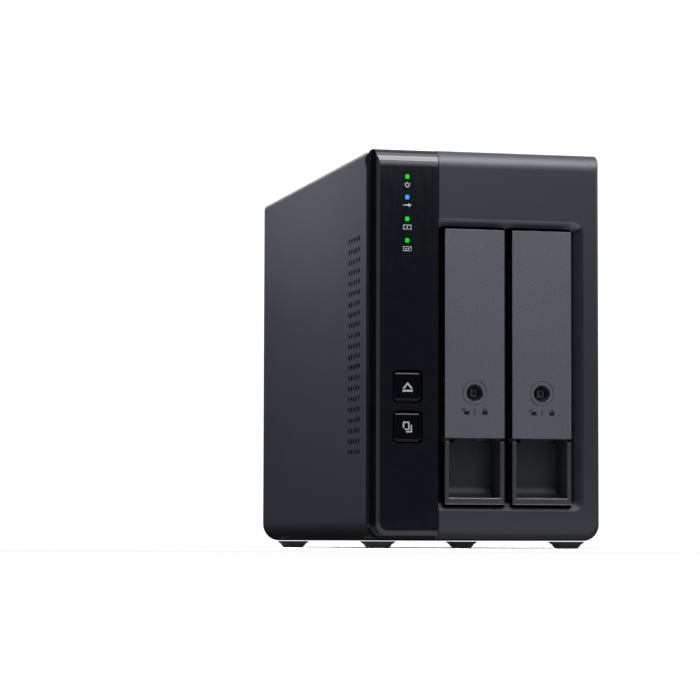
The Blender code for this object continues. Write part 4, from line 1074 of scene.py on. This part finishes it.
def fan():
    fx, fz = mid("fan_rotor", 0), mid("fan_frame", 2)
    u0, u1 = u_low("fan_frame"), u_high("fan_frame")
    s = 0.5 * (high("fan_frame", 0) - low("fan_frame", 0))
    ob = prism("fan_housing", rrect(fx - s, fz - s, fx + s, fz + s, 4.0, 8), "Y", y_of(u0), y_of(u1))
    cut(ob, loft("c", "Y", [(circle(fx, fz, 34.3, 96), y_of(u0 - 3)), (circle(fx, fz, 34.0, 96), y_of(u0)),
                            (circle(fx, fz, 33.0, 96), y_of(u0 + 4)), (circle(fx, fz, 33.0, 96), y_of(u1 - 3)),
                            (circle(fx, fz, 34.0, 96), y_of(u1)), (circle(fx, fz, 34.3, 96), y_of(u1 + 3))]))
    bm = bmesh.new()
    for sx in (-1, 1):
        for sz in (-1, 1):
            add_prism(bm, circle(fx + sx * 30, fz + sz * 30, 2.1, 24), "Y", y_of(u0 - 3), y_of(u1 + 3))
    cut(ob, link_mesh("c", bm))
    # waist between the two mounting flanges
    bm = bmesh.new()
    for sx in (-1, 1):
        for a0 in (-19.0, 7.0):
            add_box(bm, *sorted((fx + sx * (s - 1.4), fx + sx * (s + 3))), u0 + 3.5, u1 - 3.5, fz + a0, fz + a0 + 12)
    cut(ob, link_mesh("c", bm))
    seat = prism("c", circle(fx, fz, 13.5, 48), "Y", y_of(u1 - 3.2), y_of(u1 - 0.4))
    join(seat, box("d", fx - 1.4, fx + 1.4, u1 - 2.8, u1 - 0.8, fz - 33.6, fz + 33.6),
         box("e", fx - 33.6, fx + 33.6, u1 - 2.6, u1 - 1.0, fz - 1.4, fz + 1.4))
    join(ob, seat)
    soften(ob, 0.3, 2)
    shade(ob)
    piece(ob, "enclosure", "black_plastic", "black", stands_for=("fan_frame",))
    # plain foil label on the motor seat
    ob = prism("fan_label", circle(fx, fz, 11.2, 48), "Y", y_of(u1 - 0.42), y_of(u1 - 0.34))
    shade(ob, 30)
    piece(ob, "enclosure", "aluminium", "paper")
    # rotor
    ua, ub = u_low("fan_rotor"), u_high("fan_rotor")
    ob = loft("fan_wheel_blades", "Y", [(circle(fx, fz, 11.6, 56), y_of(ua)), (circle(fx, fz, 12.7, 56), y_of(ua + 0.35)),
                                        (circle(fx, fz, 13.0, 56), y_of(ua + 1.2)), (circle(fx, fz, 13.0, 56), y_of(ub))])
    bm = bmesh.new()
    for b in range(7):
        base = 2 * math.pi * b / 7
        rows = []
        for i in range(13):
            r = 11.5 + (31.6 - 11.5) * i / 12.0
            q = (r - 11.5) / 20.1
            sweep, twist = 0.22 * q ** 1.1, 0.52 - 0.16 * q
            half = 0.75 / r
            chord = []
            for j in range(7):
                v = j / 6.0
                ang = base + sweep + (v - 0.5) * 1.2 * twist + 0.05 * math.sin(math.pi * v)
                chord.append((ang, ua + 2.0 + (ub - ua - 3.0) * v))
            row = [(a - half * (0.35 + 0.65 * math.sin(math.pi * min(max((k + 0.6) / 7.2, 0), 1))), u)
                   for k, (a, u) in enumerate(chord)]
            row += [(a + half * (0.35 + 0.65 * math.sin(math.pi * min(max((k + 0.6) / 7.2, 0), 1))), u)
                    for k, (a, u) in reversed(list(enumerate(chord)))]
            rows.append([bm.verts.new(Vector((fx + r * math.cos(a), y_of(u), fz + r * math.sin(a))) * MM) for a, u in row])
        bm.faces.new(rows[0])
        bm.faces.new(list(reversed(rows[-1])))
        for r0, r1 in zip(rows, rows[1:]):
            n = len(r0)
            for i in range(n):
                j = (i + 1) % n
                bm.faces.new((r0[j], r0[i], r1[i], r1[j]))
    join(ob, link_mesh("c", bm))
    tidy(ob)
    shade(ob, 45)
    piece(ob, "fan_wheel", "black_plastic", "black", stands_for=("fan_rotor",))


def sockets():
    # stamped shell of the USB-C socket, its tongue and contacts
    x, z = mid("usb_c_port", 0), 24.0
    u0, u1 = u_low("usb_c_port"), u_high("usb_c_port")
    ob = prism("usb_shell", rrect(x - 4.5, z - 1.6, x + 4.5, z + 1.6, 1.55, 10), "Y", y_of(u0), y_of(u1))
    cut(ob, prism("c", rrect(x - 4.2, z - 1.3, x + 4.2, z + 1.3, 1.25, 10), "Y", y_of(u1 - 8), y_of(u1 + 4)))
    join(ob, box("c", x - 5.5, x + 5.5, u0, u1 - 6, z - 3.8, z + 0.4))
    soften(ob, 0.06, 2)
    shade(ob)
    piece(ob, "enclosure", "steel", "plated", stands_for=("usb_c_port",))
    ob = box("usb_tongue", x - 3.2, x + 3.2, u0 + 1, u1 - 1.2, z - 0.35, z + 0.35)
    soften(ob, 0.12, 2)
    shade(ob)
    piece(ob, "enclosure", "black_plastic", "cage")
    bm = bmesh.new()
    for i in range(10):
        cx = x - 2.5 + i * 5.0 / 9
        add_box(bm, cx - 0.12, cx + 0.12, u1 - 5.0, u1 - 1.7, z + 0.33, z + 0.40)
        add_box(bm, cx - 0.12, cx + 0.12, u1 - 5.0, u1 - 1.7, z - 0.40, z - 0.33)
    piece(link_mesh("usb_contacts", bm), "enclosure", "steel", "contact")
    # round power socket with its centre pin
    x, z = mid("dc_jack", 0), mid("dc_jack", 2)
    u0, u1 = u_low("dc_jack"), u_high("dc_jack")
    ob = box("power_socket", x - 5.0, x + 5.0, u0, u_low("rear_panel") - 0.3, z - 5.5, z + 5.5)
    join(ob, prism("c", circle(x, z, 4.25, 40), "Y", y_of(u0 + 2), y_of(u1)))
    cut(ob, loft("c", "Y", [(circle(x, z, 3.2, 40), y_of(u1 - 10)), (circle(x, z, 3.2, 40), y_of(u1 - 0.35)),
                            (circle(x, z, 3.6, 40), y_of(u1 + 0.05)), (circle(x, z, 3.6, 40), y_of(u1 + 2))]))
    soften(ob, 0.15, 2)
    shade(ob)
    piece(ob, "enclosure", "black_plastic", "black", stands_for=("dc_jack",))
    ob = loft("power_pin", "Y", [(circle(x, z, 1.0, 24), y_of(u1 - 10.5)), (circle(x, z, 1.0, 24), y_of(u1 - 1.4)),
                                 (circle(x, z, 0.85, 24), y_of(u1 - 1.1)), (circle(x, z, 0.5, 24), y_of(u1 - 1.0))])
    tidy(ob)
    shade(ob, 50)
    piece(ob, "enclosure", "steel", "steel")
    # set button
    x, z = mid("set_button", 0), mid("set_button", 2)
    u0, u1 = u_low("set_button"), u_high("set_button")
    ob = loft("set_key", "Y", [(circle(x, z, 2.9, 40), y_of(u0)), (circle(x, z, 2.9, 40), y_of(u0 + 2.4)),
                               (circle(x, z, 1.9, 40), y_of(u0 + 2.42)), (circle(x, z, 1.9, 40), y_of(u1 - 0.35)),
                               (circle(x, z, 1.75, 40), y_of(u1 - 0.1)), (circle(x, z, 1.4, 40), y_of(u1))])
    tidy(ob)
    shade(ob, 40)
    piece(ob, "set_key", "key_caps", "key", stands_for=("set_button",))
    # mode switch sliders
    for i in (1, 2, 3):
        n = "mode_slider_%d" % i
        (ax, ay, az), (bx, by, bz) = BOX[n]
        ob = prism("slider_cap_%d" % i, rect(ax, az, bx, bz), "Y", ay, by)
        cut(ob, prism("c", [(by - 0.25, 0.5 * (az + bz) - 0.16), (by + 1, 0.5 * (az + bz) - 0.30),
                            (by + 1, 0.5 * (az + bz) + 0.30), (by - 0.25, 0.5 * (az + bz) + 0.16)], "X", ax - 1, bx + 1))
        soften(ob, 0.06, 2)
        shade(ob)
        piece(ob, "mode_slide_%d" % i, "white_plastic", "white", stands_for=(n,))


# ================================================================ underside
def feet():
    for n in ("foot_front_left", "foot_front_right", "foot_rear_left", "foot_rear_right"):
        (ax, ay, az), (bx, by, bz) = BOX[n]
        # the pad narrows towards the floor, with a groove around its flank
        def outline(inset, r):
            return rrect(ax + inset, ay + inset, bx - inset, by - inset, r, 6)
        ob = loft(n.replace("foot", "pad"), "Z", [
            (outline(2.75, 1.0), az), (outline(2.45, 1.3), az + 0.22), (outline(1.45, 1.5), az + 1.3),
            (outline(1.6, 1.4), az + 1.42), (outline(1.6, 1.4), az + 1.62), (outline(1.1, 1.7), az + 1.75),
            (outline(0.12, 2.0), bz - 0.25), (outline(0.0, 2.0), bz - 0.1), (outline(0.0, 2.0), bz)])
        tidy(ob)
        shade(ob, 40)
        piece(ob, "enclosure", "rubber_feet", "rubber", stands_for=(n,))


def main():
    outer_cover()
    gloss_panel()
    front_bezel()
    lamps()
    key_cap("eject_button", "eject_cap", "eject_key", eject_icon)
    key_cap("copy_button", "copy_cap", "copy_key", copy_icon)
    for k in (1, 2):
        carrier(k)
        lever(k)
        lock_core(k)
        drive(k)
    rear_panel()
    screws()
    fan()
    sockets()
    feet()
    # CAD nodes that keep their own shape
    dress("base_plate", "sheet", 0.2)
    for n in ("cage_left_wall", "bay_divider", "cage_right_wall"):
        dress(n, "cage", 0.2)
    dress("cage_top_plate", "sheet", 0.2)
    dress("backplane_pcb", "board_xz", 0.12)
    dress("main_board", "board_yz", 0.12)
    dress("led_board", "board_xz", 0.12)
    for n in ("sata_connector_1", "sata_connector_2", "key_switch_1", "key_switch_2"):
        dress(n, "cage", 0.12)
    dress("bridge_chip", "chip", 0.12)
    dress("heat_sink", "fins", 0.15)
    for n in ("capacitor_1", "capacitor_2"):
        dress(n, "lid", 0.3)
    dress("mode_switch_body", "blue", 0.08)
    for k in (1, 2):
        dress("hinge_pin_%d" % k, "steel", 0.12)
        dress("drive_clip_low_%d" % k, "frame", 0.12)
        dress("drive_clip_top_%d" % k, "frame", 0.12)


main()


# ================================================================ stage, light, camera
def stage_material(name, rgb, glow):
    """Pale matt floor that runs out evenly to white at its far edge."""
    s = Shader(name)
    length = s.node("ShaderNodeVectorMath", operation="LENGTH")
    s.link(s.co, length.inputs[0])
    edge = s.node("ShaderNodeMapRange", interpolation_type="SMOOTHSTEP")
    for i, v in enumerate((0.30, 0.80, 0.0, 1.0), 1):
        edge.inputs[i].default_value = v
    s.link(length.outputs["Value"], edge.inputs[0])
    s.set(Base_Color=s.ramp(s.noise(6.0, 3.0), (0.2, scaled(rgb, 0.985)), (0.8, rgb)), Roughness=0.9)
    s.bsdf.inputs["Specular IOR Level"].default_value = 0.0
    white = s.node("ShaderNodeEmission")
    white.inputs["Strength"].default_value = glow
    mix = s.node("ShaderNodeMixShader")
    s.link(edge.outputs[0], mix.inputs[0])
    s.link(s.bsdf.outputs[0], mix.inputs[1])
    s.link(white.outputs[0], mix.inputs[2])
    s.link(mix.outputs[0], s.out.inputs[0])
    return s.mat


def stage():
    bm = bmesh.new()
    bmesh.ops.create_circle(bm, cap_ends=True, segments=96, radius=1.3)
    floor = link_mesh("floor", bm, recalc=False)
    floor.data.materials.append(stage_material("floor_pale", (0.92, 0.92, 0.92), 1.1))
    bm = bmesh.new()
    bmesh.ops.create_uvsphere(bm, u_segments=48, v_segments=24, radius=7.0)
    dome = link_mesh("backdrop", bm, recalc=False)
    s = Shader("backdrop_white")
    glow = s.node("ShaderNodeEmission")
    glow.inputs["Strength"].default_value = 1.15
    s.link(glow.outputs[0], s.out.inputs[0])
    dome.data.materials.append(s.mat)
    dome.visible_diffuse = dome.visible_glossy = dome.visible_transmission = False
    dome.visible_shadow = dome.visible_volume_scatter = False
    floor.visible_diffuse = floor.visible_glossy = False


def soft_box(name, at, aim, size, power, spread=180.0):
    data = bpy.data.lights.new(name, "AREA")
    data.shape, data.size, data.size_y = "RECTANGLE", size[0], size[1]
    data.energy, data.spread = power, math.radians(spread)
    ob = bpy.data.objects.new(name, data)
    ob.location = at
    ob.rotation_euler = (Vector(aim) - Vector(at)).to_track_quat("-Z", "Y").to_euler()
    ob.visible_camera = False
    data.color = (0.95, 0.965, 1.0)
    bpy.context.scene.collection.objects.link(ob)
    return ob


def studio():
    world = bpy.data.worlds.new("studio")
    bpy.context.scene.world = world
    world.use_nodes = True
    nt = world.node_tree
    nt.nodes.clear()
    out = nt.nodes.new("ShaderNodeOutputWorld")
    back = nt.nodes.new("ShaderNodeBackground")
    co = nt.nodes.new("ShaderNodeTexCoord")
    toward = nt.nodes.new("ShaderNodeVectorMath")
    toward.operation = "DOT_PRODUCT"
    toward.inputs[1].default_value = (0.28, -0.84, 0.46)
    ramp = nt.nodes.new("ShaderNodeValToRGB")
    rng = nt.nodes.new("ShaderNodeMapRange")
    rng.inputs[1].default_value, rng.inputs[2].default_value = -1.0, 1.0
    nt.links.new(co.outputs["Generated"], toward.inputs[0])
    nt.links.new(toward.outputs["Value"], rng.inputs[0])
    nt.links.new(rng.outputs[0], ramp.inputs[0])
    nt.links.new(ramp.outputs[0], back.inputs[0])
    nt.links.new(back.outputs[0], out.inputs[0])
    el = ramp.color_ramp.elements
    stops = [(0.0, 0.25), (0.35, 0.25), (0.55, 0.45), (0.80, 1.0), (1.0, 1.0)]
    while len(el) < len(stops):
        el.new(0.5)
    for e, (p, v) in zip(el, stops):
        e.position, e.color = p, (v * 0.94, v * 0.98, v * 1.06, 1.0)
    back.inputs["Strength"].default_value = WORLD
    for name, at, aim, size, power in LIGHTS:
        soft_box(name, at, aim, size, power).visible_glossy = name != "strip_left"


WORLD = 0.105
LIGHTS = [
    # name, place, aimed at, size, watts
    ("key_overhead", (0.03, -0.27, 0.42), (0.0, -0.10, 0.12), (0.32, 0.17), 1.90),
    ("front_mid", (0.13, -0.60, 0.50), (0.0, -0.10, 0.12), (0.24, 0.24), 0.66),
    ("front_low", (0.20, -0.95, 0.42), (0.0, -0.10, 0.12), (0.32, 0.26), 0.38),
    ("overhead_mid", (0.0, -0.14, 0.64), (0.0, -0.10, 0.15), (0.50, 0.26), 1.25),
    ("overhead_back", (0.0, 0.25, 0.70), (0.0, 0.0, 0.15), (0.60, 0.40), 0.4),
    ("strip_left", (-0.17, 0.0, 0.33), (-0.06, 0.0, 0.10), (0.08, 0.36), 1.75),
    ("side_back", (-0.60, 0.70, 0.60), (-0.05, 0.05, 0.12), (0.50, 0.40), 1.3),
    ("card_left", (-1.20, -0.20, 0.22), (0.0, -0.10, 0.09), (0.32, 0.50), 0.3),
    ("bounce_near", (0.0, -0.165, 0.0004), (0.0, -0.165, 1.0), (0.44, 0.11), 0.16),
    ("bounce_far", (0.05, -0.58, 0.0004), (0.05, -0.58, 1.0), (0.80, 0.60), 0.20),
    ("back_soft", (0.15, 0.95, 0.45), (0.0, 0.1, 0.08), (0.60, 0.50), 3.4),
    ("side_right", (0.85, 0.05, 0.45), (0.0, 0.0, 0.08), (0.50, 0.50), 2.0),
]


def camera():
    data = bpy.data.cameras.new("camera")
    data.lens, data.sensor_width = 148.789, 36.0
    data.clip_start, data.clip_end = 0.01, 50.0
    ob = bpy.data.objects.new("camera", data)
    ob.location = (-0.34416, -1.28013, 0.00262)
    ob.rotation_euler = [math.radians(a) for a in (93.7959, -0.1572, -13.63417)]
    bpy.context.scene.collection.objects.link(ob)
    bpy.context.scene.camera = ob


stage()
studio()
camera()
view = bpy.context.scene.view_settings
view.view_transform, view.look, view.exposure, view.gamma = "Standard", "None", 0.0, 1.0
